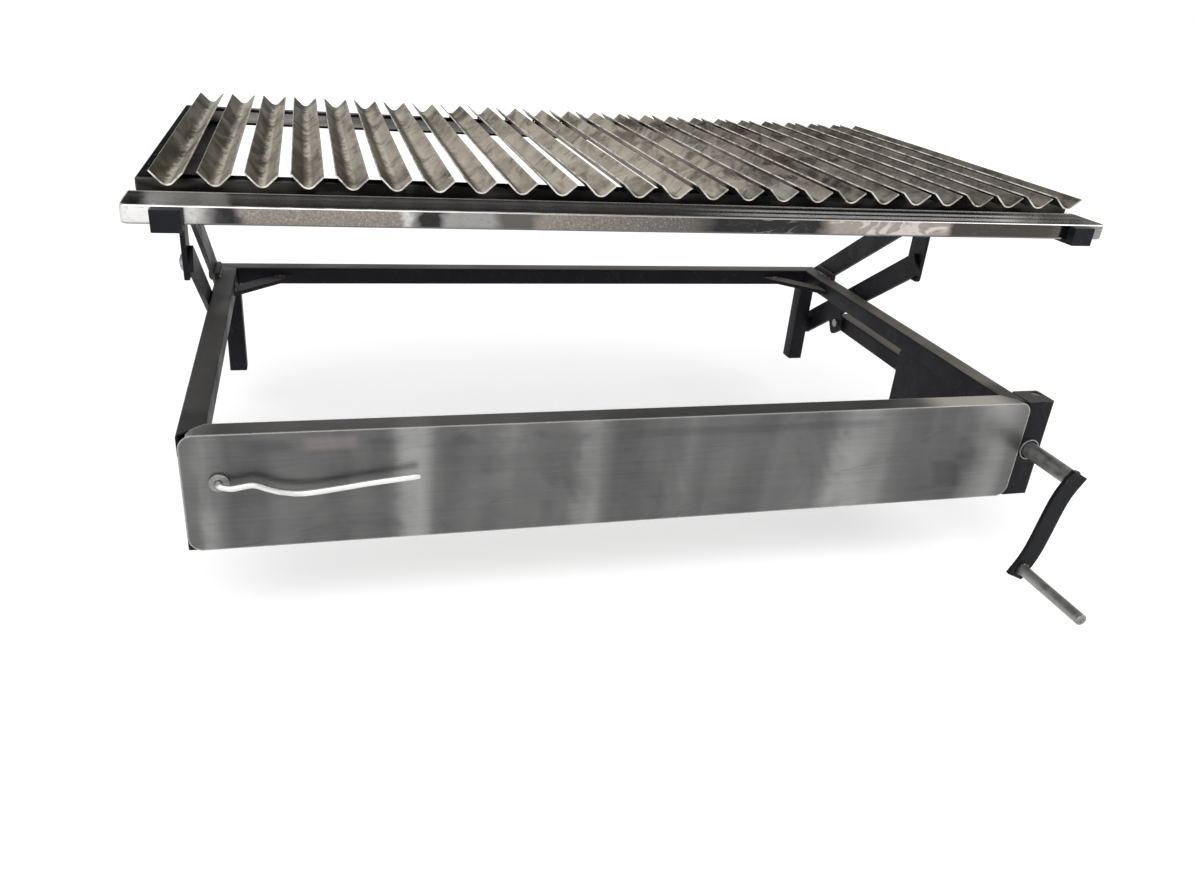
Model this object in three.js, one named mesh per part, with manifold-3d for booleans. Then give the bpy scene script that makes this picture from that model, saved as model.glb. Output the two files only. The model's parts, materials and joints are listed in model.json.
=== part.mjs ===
// A built-in grill of the Argentine kind: a low base frame that sits in a masonry hearth, and a grate of
// V-shaped bars that a crank raises and lowers on two pairs of parallel links, with a trough that catches the
// fat in front. Millimetres, +X right, +Y to the back, +Z up. The origin is the middle of the front panel's
// underside, in the plane where the panel's sheet meets the frame. Everything is drawn half raised.
import * as THREE from "three";
import { mergeVertices } from "three/addons/utils/BufferGeometryUtils.js";
import Module from "manifold-3d";

const wasm = await Module();
wasm.setup();

// Shared by all pieces
const seatGap = 0.3; // between pieces that touch or are welded
const overrun = 6; // how far a cutting tool runs past what it cuts
const weldBite = 1; // how deep a stud or plate starts inside the wall that it is welded to
const mergeStep = 0.0005;
const roundSides = 24;
const smallSides = 16;
const hexSides = 6;
const bendSteps = 5;
const mitreGap = seatGap * Math.SQRT2;
const quarter = Math.PI / 2;

// Base frame
const frameWidth = 1000;
const frameDepth = 603;
const frameTop = 133.4;
const tubeWide = 27;
const tubeHigh = 25;
const tubeWall = 2;
const tubeCorner = 2.5;
const halfWidth = frameWidth / 2;
const tubeInner = halfWidth - tubeWide;
const tubeBottom = frameTop - tubeHigh;
const rearFront = frameDepth - tubeWide;

// Front panel, a folded sheet with a return along its top and its bottom
const panelSheet = 2;
const panelCorner = 15;
const panelLap = 4; // past the frame on the crank's side
const panelShort = 1; // short of the frame on the other side
const returnDeep = 25;

// Rear legs, which reach below the panel down to the hearth's floor
const legWide = 25;
const legDeep = 27;
const legDrop = 32;
const legInset = 4.5;
const legFloor = 3;

// Front posts
const postWide = 39.7;
const postDeep = 36;
const postWall = 3;
const postCorner = 3;
const plugRadius = 6.7;
const plugRecess = 1;
const plugInset = 10; // from the post's outer and rear faces to the middle of the plug

// Corner braces
const braceLeg = 82;
const braceWide = 25;
const braceThick = 6;
const braceRise = 7; // above the tubes' underside

// Parallel links and their pivots
const linkLength = 323.7;
const linkAngle = THREE.MathUtils.degToRad(33.8);
const linkWide = 34;
const linkThick = 6;
const linkEnd = 16; // past each pivot, where the bar is cut square
const linkCorner = 4;
const linkRun = 1; // from the frame's outer face to the links
const pivotSpread = 84.5; // between the lower and the upper link
const pivotBack = 16; // from the frame's rear face to the rear pivots
const pivotLow = 36; // height of the lower rear pivot
const studRadius = 6;
const bossRadius = 10;
const nutRadius = 9;
const nutThick = 5;
const studTip = 1.5;
const headRadius = 10.5;
const headThick = 5;
const headSteps = 3;
const pivotRunning = 0.3;
const stayLong = 84; // low plate on the side tube behind the upper link
const stayHigh = 9.6;
const stayThick = 6;
const linkInner = halfWidth + linkRun;
const linkOuter = linkInner + linkThick;
const rearPivotY = frameDepth - pivotBack;
const pivotHigh = pivotLow + pivotSpread;
const linkForward = linkLength * Math.cos(linkAngle);
const linkRise = linkLength * Math.sin(linkAngle);
const frontPivotY = rearPivotY - linkForward;
const frontLowZ = pivotLow + linkRise;
const frontHighZ = pivotHigh + linkRise;

// Lug under the right lower link, which the drive tube pushes
const lugFront = 112;
const lugRear = 75;
const lugDrop = 43;
const lugCorner = 8;
const lugBoltAlong = 98.7;
const lugBoltBelow = 28.7;
const lugBoltRadius = 4;
const lugHeadRadius = 7;
const lugHeadThick = 4;

// Drive: a square tube behind the lug, a threaded spindle in it, and the crank in front of the post
const driveTube = 25;
const driveWall = 2.5;
const driveRun = 0.5; // from the links to the tube
const driveEnd = 12; // past the lug's bolt
const mouthBehind = 62; // from the post's rear face to the tube's mouth
const nutBlockLong = 14;
const nutPlay = 2.8; // the closed linkage is opened here, so the nut's bore is wide
const spindleRadius = 6;
const spindleInside = 102; // how far the spindle reaches into the tube
const shaftRadius = 10.5;
const shaftReach = 102; // in front of the carrier's pins
const carrierLong = 22;
const carrierHigh = 26;
const carrierSlack = 0.8;
const pinRadius = 5;
const collarThick = 2;
const collarRadius = 9;
const tiltPlay = 1.9; // what the tilting shaft needs round itself at the post
const ringWall = 1.7;
const ringThick = 3;

// Crank
const crankReach = 130;
const crankWide = 25;
const crankThick = 6;
const crankSteps = 14;
const crankRouteShares = [
  [0.042, 0.065],
  [-0.092, -0.2],
  [-0.212, -0.762],
  [-0.338, -1.038],
];
const gripPlaceShares = [-0.285, -0.95];
const gripRadius = 7;
const gripLong = 109;
const gripChamfer = 1.5;
const gripBore = 3;
const gripBoreDeep = 2;

// Guard plate between the fire and the drive
const guardThick = 3;
const guardBack = 252;

// Carriage: two arms, a ring of square tube and two hangers
const armInset = 45.5; // from the ring's outer face to the arms' inner faces
const armWide = 26;
const armThick = 12;
const armTongue = 3.6; // left under the trough
const armBlock = 12; // the stop in front of the trough
const armBlockHigh = 20.2;
const gridTube = 20;
const gridWall = 1.5;
const gridCorner = 2;
const gridLip = 1.7; // from the hangers' outer faces to the ring's
const gridFront = 51.8;
const gridDepth = 464;
const gridTop = 372.4;
const hangerWide = 36;
const hangerThick = 6;
const hangerFoot = 19; // below the lower pivot
const hangerCorner = 5;
const gridBottom = gridTop - gridTube;
const armTop = gridBottom - seatGap;
const armBottom = armTop - armThick;
const hangerInner = linkOuter + seatGap;
const hangerOuter = hangerInner + hangerThick;
const gridHalfWidth = hangerOuter + gridLip;
const armInner = gridHalfWidth - armInset;

// Trough
const troughPast = 6.5; // past the ring at each end
const troughWide = 59;
const troughHigh = 17.5;
const troughSheet = 1.5;
const troughBend = 4;
const troughHem = 3;
const troughHemHigh = 4;
const troughGap = 4.8; // in front of the ring
const troughHalf = gridHalfWidth + troughPast;
const troughBack = gridFront - troughGap;
const troughFront = troughBack - troughWide;
const troughBottom = armBottom + armTongue + seatGap;

// Bars
const barCount = 25;
const barInset = 31.4; // from the ring's outer face to the middle of the last bar
const barPitch = (2 * (gridHalfWidth - barInset)) / (barCount - 1);
const barWide = 30;
const barSheet = 1.5;
const barBend = 5;
const barSlope = THREE.MathUtils.degToRad(43);
const barFrontReach = 39.9; // past the front tube, over the trough
const barRearReach = 29.2;
const barCutSlant = 8; // the front ends are cut a little on the skew

// Lever on the panel
const leverInset = 36.7; // from the frame's left outer face to the rod's root
const leverX = leverInset - halfWidth;
const leverZ = 80.3;
const leverRadius = 3.5;
const leverLong = 200.5;
const leverWave = 12;
const leverStand = 13; // from the panel to the middle of the rod
const leverBend = 7;
const leverTail = 8;
const leverStopRadius = 7;
const leverStopThick = 3;
const leverSides = 12;
const leverSteps = 44;
const leverRouteShares = [
  [0.06, -0.1],
  [0.106, 0],
  [0.171, 0.12],
  [0.235, -0.3],
  [0.306, -0.69],
  [0.415, -0.91],
  [0.6, -0.58],
  [0.745, -0.26],
  [1, 0.18],
];
const escutcheonRadius = 10;
const escutcheonThick = 3.5;

const steel = {
  black: { color: 0x232323, roughness: 0.55, metalness: 0.6 },
  dark: { color: 0x4a4a48, roughness: 0.45, metalness: 0.8 },
  brushed: { color: 0x7d7d7f, roughness: 0.38, metalness: 1 },
  bright: { color: 0xb9b7b2, roughness: 0.2, metalness: 1 },
};

// Geometry to solid and back
function solidOf(geometry) {
  const bare = geometry.clone();
  bare.deleteAttribute("normal");
  bare.deleteAttribute("uv");
  const merged = mergeVertices(bare, mergeStep);
  return new wasm.Manifold(
    new wasm.Mesh({
      numProp: 3,
      vertProperties: merged.attributes.position.array,
      triVerts: new Uint32Array(merged.index.array),
    }),
  );
}

function geometryOf(solid) {
  const mesh = solid.getMesh();
  const geometry = new THREE.BufferGeometry();
  geometry.setAttribute("position", new THREE.BufferAttribute(new Float32Array(mesh.vertProperties), 3));
  geometry.setIndex(new THREE.BufferAttribute(new Uint32Array(mesh.triVerts), 1));
  geometry.computeVertexNormals();
  return geometry;
}

function joined(...pieces) {
  return geometryOf(pieces.map(solidOf).reduce((a, b) => a.add(b)));
}

function cut(body, ...tools) {
  return geometryOf(tools.map(solidOf).reduce((a, b) => a.subtract(b), solidOf(body)));
}

// Boxes, plates and rods, in place
function box(low, high) {
  const size = high.map((v, i) => v - low[i]);
  const middle = high.map((v, i) => (v + low[i]) / 2);
  return new THREE.BoxGeometry(...size).translate(...middle);
}

function extruded(shape, depth) {
  return new THREE.ExtrudeGeometry(shape, { depth, bevelEnabled: false });
}

// An outline in Y and Z, carried along X
function alongX(shape, from, to) {
  const turn = new THREE.Matrix4().makeBasis(
    new THREE.Vector3(0, 1, 0),
    new THREE.Vector3(0, 0, 1),
    new THREE.Vector3(1, 0, 0),
  );
  return extruded(shape, to - from).applyMatrix4(turn).translate(from, 0, 0);
}

// An outline in X and Z, carried along Y
function alongY(shape, from, to) {
  return extruded(shape, to - from).rotateX(quarter).translate(0, to, 0);
}

// An outline in X and Y, carried along Z
function alongZ(shape, from, to) {
  return extruded(shape, to - from).translate(0, 0, from);
}

function rodX(radius, from, to, y, z, sides = roundSides) {
  return new THREE.CylinderGeometry(radius, radius, to - from, sides)
    .rotateZ(-quarter)
    .translate((from + to) / 2, y, z);
}

function rodY(radius, from, to, x, z, sides = roundSides) {
  return new THREE.CylinderGeometry(radius, radius, to - from, sides).translate(x, (from + to) / 2, z);
}

function rodZ(radius, from, to, x, y, sides = roundSides) {
  return new THREE.CylinderGeometry(radius, radius, to - from, sides)
    .rotateX(quarter)
    .translate(x, y, (from + to) / 2);
}

// A shape turned round the Y axis: pairs of radius and place along Y
function turnedY(profile, x, z) {
  const points = profile.map(([radius, y]) => new THREE.Vector2(radius, y));
  return new THREE.LatheGeometry(points, roundSides).translate(x, 0, z);
}

// Points of an arc, from one angle to another
function arc(x, y, radius, from, to, steps = bendSteps) {
  return Array.from({ length: steps + 1 }, (_, i) => {
    const angle = from + ((to - from) * i) / steps;
    return [x + radius * Math.cos(angle), y + radius * Math.sin(angle)];
  });
}

function roundedRect(low, high, radius, steps) {
  const [x0, y0] = low.map((v) => v + radius);
  const [x1, y1] = high.map((v) => v - radius);
  return polygon([
    ...arc(x1, y0, radius, -quarter, 0, steps),
    ...arc(x1, y1, radius, 0, quarter, steps),
    ...arc(x0, y1, radius, quarter, 2 * quarter, steps),
    ...arc(x0, y0, radius, 2 * quarter, 3 * quarter, steps),
  ]);
}

// The two rounded lower corners of an outline
function roundFoot([from, to], foot, radius) {
  return [
    ...arc(from + radius, foot + radius, radius, 2 * quarter, 3 * quarter),
    ...arc(to - radius, foot + radius, radius, -quarter, 0),
  ];
}

function rectangle(low, high) {
  return polygon([low, [high[0], low[1]], high, [low[0], high[1]]]);
}

function polygon(points) {
  return new THREE.Shape(points.map(([a, b]) => new THREE.Vector2(a, b)));
}

// A rectangular tube, open at both ends. along is one of the three functions above.
function tubeAlong(along, low, high, corner, wall, from, to) {
  const inside = rectangle(
    low.map((v) => v + wall),
    high.map((v) => v - wall),
  );
  return cut(along(roundedRect(low, high, corner), from, to), along(inside, from - overrun, to + overrun));
}

// A wedge that mitres the end of a tube along a line at 45 degrees through (x, y). toBack is 1 where that line
// runs from the right to the back on the left, as at a front corner, else -1. It takes away what lies left of
// the line, or, where keepLeft is set, what lies right of it.
function mitreTool(x, y, reach, toBack, keepLeft, low, high) {
  const far = reach + overrun;
  const a = [x + overrun, y - toBack * overrun];
  const b = [x - far, y + toBack * far];
  const corner = keepLeft ? [a[0], b[1]] : [b[0], a[1]];
  return alongZ(counterClockwise([a, b, corner]), low - overrun, high + overrun);
}

function counterClockwise(points) {
  const area = THREE.ShapeUtils.area(points.map(([a, b]) => new THREE.Vector2(a, b)));
  return polygon(area < 0 ? points.toReversed() : points);
}

// Base frame
function sideTube() {
  const low = [tubeInner, tubeBottom];
  const high = [halfWidth, frameTop];
  const tube = tubeAlong(alongY, low, high, tubeCorner, tubeWall, seatGap, frameDepth);
  const mitred = cut(
    tube,
    mitreTool(halfWidth, 0, tubeWide, 1, false, tubeBottom, frameTop),
    mitreTool(halfWidth, frameDepth, tubeWide, -1, false, tubeBottom, frameTop),
  );
  const stay = box(
    [halfWidth - stayThick, frameDepth - stayLong, frameTop - weldBite],
    [halfWidth, frameDepth - tubeWide, frameTop + stayHigh],
  );
  return joined(mitred, stay, pivotStud(halfWidth, rearPivotY, pivotHigh));
}

function rearTube() {
  const low = [rearFront, tubeBottom];
  const high = [frameDepth, frameTop];
  const tube = tubeAlong(alongX, low, high, tubeCorner, tubeWall, -halfWidth, halfWidth);
  const end = mitreTool(halfWidth - mitreGap, frameDepth, tubeWide, -1, true, tubeBottom, frameTop);
  return cut(tube, end, mirrored(end));
}

function mirrored(geometry) {
  return geometryOf(solidOf(geometry).mirror([1, 0, 0]));
}

// A spacer, a stud through the link and a nut outside it, standing out of a wall whose outer face is at wallX
function pivotStud(wallX, y, z) {
  const nutFrom = linkOuter + seatGap;
  return joined(
    rodX(bossRadius, wallX - weldBite, linkInner - seatGap, y, z),
    rodX(studRadius, wallX - weldBite, nutFrom + nutThick + studTip, y, z),
    rodX(nutRadius, nutFrom, nutFrom + nutThick, y, z, hexSides),
  );
}

function frontPanel() {
  const outline = roundedRect(
    [panelShort - halfWidth, 0],
    [halfWidth + panelLap, frameTop],
    panelCorner,
    2 * bendSteps,
  );
  const face = alongY(outline, -panelSheet, 0);
  const topEnd = halfWidth - mitreGap - weldBite;
  const topBack = halfWidth - mitreGap - returnDeep;
  const topReturn = alongZ(
    polygon([
      [-topEnd, -weldBite],
      [topEnd, -weldBite],
      [topEnd, weldBite],
      [topBack, returnDeep],
      [-topBack, returnDeep],
      [-topEnd, weldBite],
    ]),
    frameTop - panelSheet,
    frameTop,
  );
  const bottomReturn = box(
    [seatGap - tubeInner, -weldBite, 0],
    [tubeInner - seatGap, returnDeep, panelSheet],
  );
  const rounding = alongY(outline, -panelSheet, returnDeep + overrun);
  const sheet = geometryOf(solidOf(joined(face, topReturn, bottomReturn)).intersect(solidOf(rounding)));
  const hole = rodY(leverRadius + pivotRunning, -panelSheet - overrun, overrun, leverX, leverZ, smallSides);
  return cut(sheet, hole);
}

function rearLeg() {
  const outer = halfWidth - legInset;
  const inner = outer - legWide;
  const front = frameDepth - legDeep;
  const top = tubeBottom - seatGap;
  const post = alongZ(roundedRect([inner, front], [outer, frameDepth], tubeCorner), -legDrop, top);
  const hollow = box(
    [inner + tubeWall, front + tubeWall, legFloor - legDrop],
    [outer - tubeWall, frameDepth - tubeWall, top + overrun],
  );
  return joined(cut(post, hollow), pivotStud(outer, rearPivotY, pivotLow));
}

function leftPost() {
  const low = [-halfWidth, seatGap];
  const high = [-tubeInner, tubeWide];
  return tubeAlong(alongZ, low, high, tubeCorner, tubeWall, 0, tubeBottom - seatGap);
}

// Places along the drive, which runs level through the lug's bolt
const lugBoltY = rearPivotY - lugBoltAlong * Math.cos(linkAngle) - lugBoltBelow * Math.sin(linkAngle);
const driveZ = pivotLow + lugBoltAlong * Math.sin(linkAngle) - lugBoltBelow * Math.cos(linkAngle);
const driveInner = linkOuter + driveRun;
const driveX = driveInner + driveTube / 2;
const postInner = halfWidth + seatGap;
const postOuter = halfWidth + postWide;
const pinY = (seatGap + postDeep) / 2;
const driveMouth = postDeep + mouthBehind;
const shaftEnd = pinY - shaftReach;
const shaftHole = shaftRadius + tiltPlay;

function rightPost() {
  const shell = alongZ(roundedRect([postInner, seatGap], [postOuter, postDeep], postCorner), 0, frameTop);
  const plugX = postOuter - plugInset;
  const plugY = postDeep - plugInset;
  return cut(
    shell,
    box(
      [postInner + postWall, seatGap + postWall, -overrun],
      [postOuter - postWall, postDeep - postWall, frameTop - postWall],
    ),
    rodY(shaftHole, -overrun, pinY, driveX, driveZ),
    rodY(spindleRadius + tiltPlay, pinY, postDeep + overrun, driveX, driveZ),
    rodX(pinRadius + pivotRunning, postInner - overrun, postOuter + overrun, pinY, driveZ),
    rodZ(plugRadius, frameTop - postWall - overrun, frameTop + overrun, plugX, plugY),
  );
}

function postPlug() {
  const plugX = postOuter - plugInset;
  const plugY = postDeep - plugInset;
  return rodZ(plugRadius - seatGap, frameTop - postWall, frameTop - plugRecess, plugX, plugY);
}

function cornerBrace() {
  const side = tubeInner - seatGap;
  const back = rearFront - seatGap;
  const inner = braceLeg - braceWide * Math.SQRT2;
  const outline = counterClockwise([
    [side, back - braceLeg],
    [side, back - inner],
    [side - inner, back],
    [side - braceLeg, back],
  ]);
  const low = tubeBottom + braceRise;
  return alongZ(outline, low, low + braceThick);
}

function guardPlate() {
  return box([tubeInner, seatGap, 0], [tubeInner + guardThick, guardBack, tubeBottom - seatGap]);
}

// Links, drawn with the rear pivot at the origin and the bar running to the front
function linkBar() {
  const half = linkWide / 2;
  const outline = roundedRect([-linkLength - linkEnd, -half], [linkEnd, half], linkCorner);
  return alongX(outline, 0, linkThick);
}

function linkHoles() {
  const radius = studRadius + pivotRunning;
  return [0, -linkLength].map((y) => rodX(radius, -overrun, linkThick + overrun, y, 0));
}

function plainLink() {
  return cut(linkBar(), ...linkHoles());
}

function linkWithLug() {
  const lug = alongX(roundedRect([-lugFront, -lugDrop], [-lugRear, 0], lugCorner), 0, linkThick);
  const boltHole = rodX(
    lugBoltRadius + pivotRunning,
    -overrun,
    linkThick + overrun,
    -lugBoltAlong,
    -lugBoltBelow,
    smallSides,
  );
  return cut(joined(linkBar(), lug), ...linkHoles(), boltHole);
}

// Carriage
function carriageArm() {
  const blockBack = troughFront - seatGap;
  const blockFront = blockBack - armBlock;
  const rear = gridFront + gridDepth;
  const outline = polygon([
    [blockFront, armBottom],
    [rear, armBottom],
    [rear, armTop],
    [troughBack + seatGap, armTop],
    [troughBack + seatGap, armBottom + armTongue],
    [blockBack, armBottom + armTongue],
    [blockBack, armBottom + armBlockHigh],
    [blockFront, armBottom + armBlockHigh],
  ]);
  return alongX(outline, armInner, armInner + armWide);
}

function gridCross(front) {
  const back = front + gridTube;
  const low = [front, gridBottom];
  const high = [back, gridTop];
  const tube = tubeAlong(alongX, low, high, gridCorner, gridWall, -gridHalfWidth, gridHalfWidth);
  const atFront = front === gridFront;
  const end = atFront
    ? mitreTool(gridHalfWidth - mitreGap, front, gridTube, 1, true, gridBottom, gridTop)
    : mitreTool(gridHalfWidth - mitreGap, back, gridTube, -1, true, gridBottom, gridTop);
  return cut(tube, end, mirrored(end));
}

function gridSide() {
  const back = gridFront + gridDepth;
  const low = [gridHalfWidth - gridTube, gridBottom];
  const high = [gridHalfWidth, gridTop];
  const tube = tubeAlong(alongY, low, high, gridCorner, gridWall, gridFront, back);
  return cut(
    tube,
    mitreTool(gridHalfWidth, gridFront, gridTube, 1, false, gridBottom, gridTop),
    mitreTool(gridHalfWidth, back, gridTube, -1, false, gridBottom, gridTop),
  );
}

function hanger() {
  const half = hangerWide / 2;
  const foot = frontLowZ - hangerFoot;
  const top = gridBottom - seatGap;
  const [front, back] = [frontPivotY - half, frontPivotY + half];
  const outline = polygon([[back, top], [front, top], ...roundFoot([front, back], foot, hangerCorner)]);
  const bolts = [frontLowZ, frontHighZ].flatMap((z) => hangerBolt(z));
  return joined(alongX(outline, hangerInner, hangerOuter), ...bolts);
}

// A pin that ends flush with the link's inner face, with a domed head outside the hanger
function hangerBolt(z) {
  const dome = Array.from({ length: headSteps + 1 }, (_, i) => {
    const angle = (quarter * i) / headSteps;
    return new THREE.Vector2(headRadius * Math.cos(angle), headThick * Math.sin(angle));
  });
  const foot = [new THREE.Vector2(0, -weldBite), new THREE.Vector2(headRadius, -weldBite)];
  const head = new THREE.LatheGeometry([...foot, ...dome], roundSides)
    .rotateZ(-quarter)
    .translate(hangerOuter, frontPivotY, z);
  return [rodX(studRadius, linkInner, hangerInner + weldBite, frontPivotY, z), head];
}

// A folded sheet with a hem along its front rim, closed by a plate at each end
function greaseTrough() {
  const top = troughBottom + troughHigh;
  const above = top + overrun;
  const hemBack = troughFront + troughHem;
  const hemFoot = top - troughHemHigh;
  const innerRadius = troughBend - troughSheet;
  const [innerFront, innerBack] = [troughFront + troughSheet, troughBack - troughSheet];
  const section = polygon([
    [troughBack, top],
    [troughFront, top],
    ...roundFoot([troughFront, troughBack], troughBottom, troughBend),
  ]);
  const inside = polygon([
    [innerBack, above],
    [hemBack, above],
    [hemBack, hemFoot],
    [innerFront, hemFoot],
    ...roundFoot([innerFront, innerBack], troughBottom + troughSheet, innerRadius),
  ]);
  return cut(
    alongX(section, -troughHalf, troughHalf),
    alongX(inside, troughSheet - troughHalf, troughHalf - troughSheet),
  );
}

// The bar's section follows from its width, its slope and the radius of its fold. The middle of the fold is at
// x = 0 and the fold's underside at z = 0.
function barSection() {
  const outer = barBend + barSheet;
  const sine = Math.sin(barSlope);
  const cosine = Math.cos(barSlope);
  const straight = (barWide / 2 - outer * sine) / cosine;
  const tipX = barWide / 2;
  const tipZ = outer * (1 - cosine) + straight * sine;
  return polygon([
    [-tipX, tipZ],
    ...arc(0, outer, outer, -quarter - barSlope, barSlope - quarter),
    [tipX, tipZ],
    [tipX - barSheet * sine, tipZ + barSheet * cosine],
    ...arc(0, outer, barBend, barSlope - quarter, -quarter - barSlope),
    [barSheet * sine - tipX, tipZ + barSheet * cosine],
  ]);
}

function grateBar() {
  const front = gridFront - barFrontReach;
  const back = gridFront + gridDepth + barRearReach;
  const bar = alongY(barSection(), front, back);
  const place = bar.attributes.position;
  const middle = (front + back) / 2;
  for (let i = 0; i < place.count; i += 1) {
    if (place.getY(i) < middle) {
      place.setY(i, place.getY(i) + barCutSlant * (1 / 2 - place.getX(i) / barWide));
    }
  }
  return bar;
}

// Drive
function drivePushTube() {
  const back = lugBoltY + driveEnd;
  const half = driveTube / 2;
  const low = [driveX - half, driveZ - half];
  const high = [driveX + half, driveZ + half];
  const tube = tubeAlong(alongY, low, high, tubeCorner, driveWall, driveMouth, back);
  const hole = rodX(
    lugBoltRadius + pivotRunning,
    driveInner - overrun,
    driveInner + driveTube + overrun,
    lugBoltY,
    driveZ,
    smallSides,
  );
  return cut(tube, hole);
}

function spindleNut() {
  const back = driveMouth - seatGap;
  const half = driveTube / 2;
  const block = alongY(
    roundedRect([driveX - half, driveZ - half], [driveX + half, driveZ + half], tubeCorner),
    back - nutBlockLong,
    back,
  );
  const bore = rodY(spindleRadius + nutPlay, back - nutBlockLong - overrun, back + overrun, driveX, driveZ);
  return cut(block, bore);
}

function lugBolt() {
  const headTo = linkInner - seatGap;
  const nutFrom = driveInner + driveTube + seatGap;
  return joined(
    rodX(lugHeadRadius, headTo - lugHeadThick, headTo, lugBoltY, driveZ, hexSides),
    rodX(lugBoltRadius, headTo - weldBite, nutFrom + nutThick, lugBoltY, driveZ, smallSides),
    rodX(lugHeadRadius, nutFrom, nutFrom + lugHeadThick, lugBoltY, driveZ, hexSides),
  );
}

function carrier() {
  const left = postInner + postWall + carrierSlack;
  const right = postOuter - postWall - carrierSlack;
  const block = box(
    [left, pinY - carrierLong / 2, driveZ - carrierHigh / 2],
    [right, pinY + carrierLong / 2, driveZ + carrierHigh / 2],
  );
  const pins = rodX(pinRadius, postInner + seatGap, postOuter - seatGap, pinY, driveZ);
  const bore = rodY(
    spindleRadius + pivotRunning,
    pinY - carrierLong,
    pinY + carrierLong,
    driveX,
    driveZ,
  );
  return cut(joined(block, pins), bore);
}

// Crank shaft, thrust collar and spindle in one turned piece
function crankShaft() {
  const shoulder = pinY - carrierLong / 2 - seatGap;
  const collar = pinY + carrierLong / 2 + seatGap;
  return turnedY(
    [
      [0, shaftEnd],
      [shaftRadius, shaftEnd],
      [shaftRadius, shoulder],
      [spindleRadius, shoulder],
      [spindleRadius, collar],
      [collarRadius, collar],
      [collarRadius, collar + collarThick],
      [spindleRadius, collar + collarThick],
      [spindleRadius, driveMouth + spindleInside],
      [0, driveMouth + spindleInside],
    ],
    driveX,
    driveZ,
  );
}

function crankRing() {
  const ring = rodY(shaftHole + ringWall, -ringThick, 0, driveX, driveZ);
  return cut(ring, rodY(shaftHole, -ringThick - overrun, overrun, driveX, driveZ));
}

// A flat bar of even width along a soft S from the shaft to the grip
function crankArm() {
  const route = crankRouteShares.map(
    ([a, b]) => new THREE.Vector2(driveX + a * crankReach, driveZ + b * crankReach),
  );
  const curve = new THREE.SplineCurve(route);
  const right = [];
  const left = [];
  for (let i = 0; i <= crankSteps; i += 1) {
    const at = curve.getPoint(i / crankSteps);
    const along = curve.getTangent(i / crankSteps);
    const across = new THREE.Vector2(-along.y, along.x).multiplyScalar(crankWide / 2);
    right.push([at.x + across.x, at.y + across.y]);
    left.push([at.x - across.x, at.y - across.y]);
  }
  const outline = counterClockwise([...right, ...left.toReversed()]);
  const back = shaftEnd - seatGap;
  return alongY(outline, back - crankThick, back);
}

function crankGrip() {
  const back = shaftEnd - 2 * seatGap - crankThick;
  const front = back - gripLong;
  return turnedY(
    [
      [0, front + gripBoreDeep],
      [gripBore, front + gripBoreDeep],
      [gripBore, front],
      [gripRadius - gripChamfer, front],
      [gripRadius, front + gripChamfer],
      [gripRadius, back],
      [0, back],
    ],
    driveX + gripPlaceShares[0] * crankReach,
    driveZ + gripPlaceShares[1] * crankReach,
  );
}

// Lever: a bent rod that turns in the panel, held by a stop behind it
function frontLever() {
  const standY = -panelSheet - leverStand;
  const points = [
    new THREE.Vector3(leverX, leverTail, leverZ),
    new THREE.Vector3(leverX, standY + 2 * leverBend, leverZ),
    new THREE.Vector3(leverX, standY + leverBend, leverZ),
    new THREE.Vector3(leverX + leverBend / 3, standY + leverBend / 3, leverZ),
    ...leverRouteShares.map(
      ([a, b]) => new THREE.Vector3(leverX + a * leverLong, standY, leverZ + b * leverWave),
    ),
  ];
  const section = new THREE.Shape();
  section.absarc(0, 0, leverRadius, 0, Math.PI * 2);
  const rod = new THREE.ExtrudeGeometry(section, {
    steps: leverSteps,
    curveSegments: leverSides,
    bevelEnabled: false,
    extrudePath: new THREE.CatmullRomCurve3(points),
  });
  const stop = rodY(leverStopRadius, seatGap, seatGap + leverStopThick, leverX, leverZ, smallSides);
  return joined(rod, stop);
}

function leverEscutcheon() {
  const back = -panelSheet - seatGap;
  const disc = rodY(escutcheonRadius, back - escutcheonThick, back, leverX, leverZ);
  const hole = rodY(
    leverRadius + pivotRunning,
    back - escutcheonThick - overrun,
    back + overrun,
    leverX,
    leverZ,
    smallSides,
  );
  return cut(disc, hole);
}

// The object
const grill = new THREE.Group();

function bodyGroup(name) {
  const group = new THREE.Group();
  group.name = name;
  grill.add(group);
  return group;
}

function place(group, name, geometry, finish) {
  const mesh = new THREE.Mesh(geometry, new THREE.MeshStandardMaterial(finish));
  mesh.name = name;
  group.add(mesh);
  return mesh;
}

// The right piece and its mirror image on the left
function placePair(group, name, geometry, finish) {
  place(group, "right_" + name, geometry, finish);
  place(group, "left_" + name, geometry, finish).scale.x = -1;
}

function placeLink(group, name, side, geometry, height) {
  const link = place(group, name, geometry, steel.black);
  link.position.set(side * linkInner, rearPivotY, height);
  link.rotation.x = -linkAngle;
  link.scale.x = side;
}

const base = bodyGroup("base");
place(base, "front_panel", frontPanel(), steel.brushed);
placePair(base, "side_tube", sideTube(), steel.black);
place(base, "rear_tube", rearTube(), steel.black);
placePair(base, "rear_leg", rearLeg(), steel.black);
placePair(base, "corner_brace", cornerBrace(), steel.black);
place(base, "left_front_post", leftPost(), steel.black);
place(base, "right_front_post", rightPost(), steel.black);
place(base, "post_plug", postPlug(), steel.dark);
place(base, "guard_plate", guardPlate(), steel.black);
place(base, "crank_ring", crankRing(), steel.dark);
place(base, "lever_escutcheon", leverEscutcheon(), steel.bright);

const upperLinks = bodyGroup("upper_links");
placeLink(upperLinks, "right_upper_link", 1, plainLink(), pivotHigh);
placeLink(upperLinks, "left_upper_link", -1, plainLink(), pivotHigh);

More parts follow.
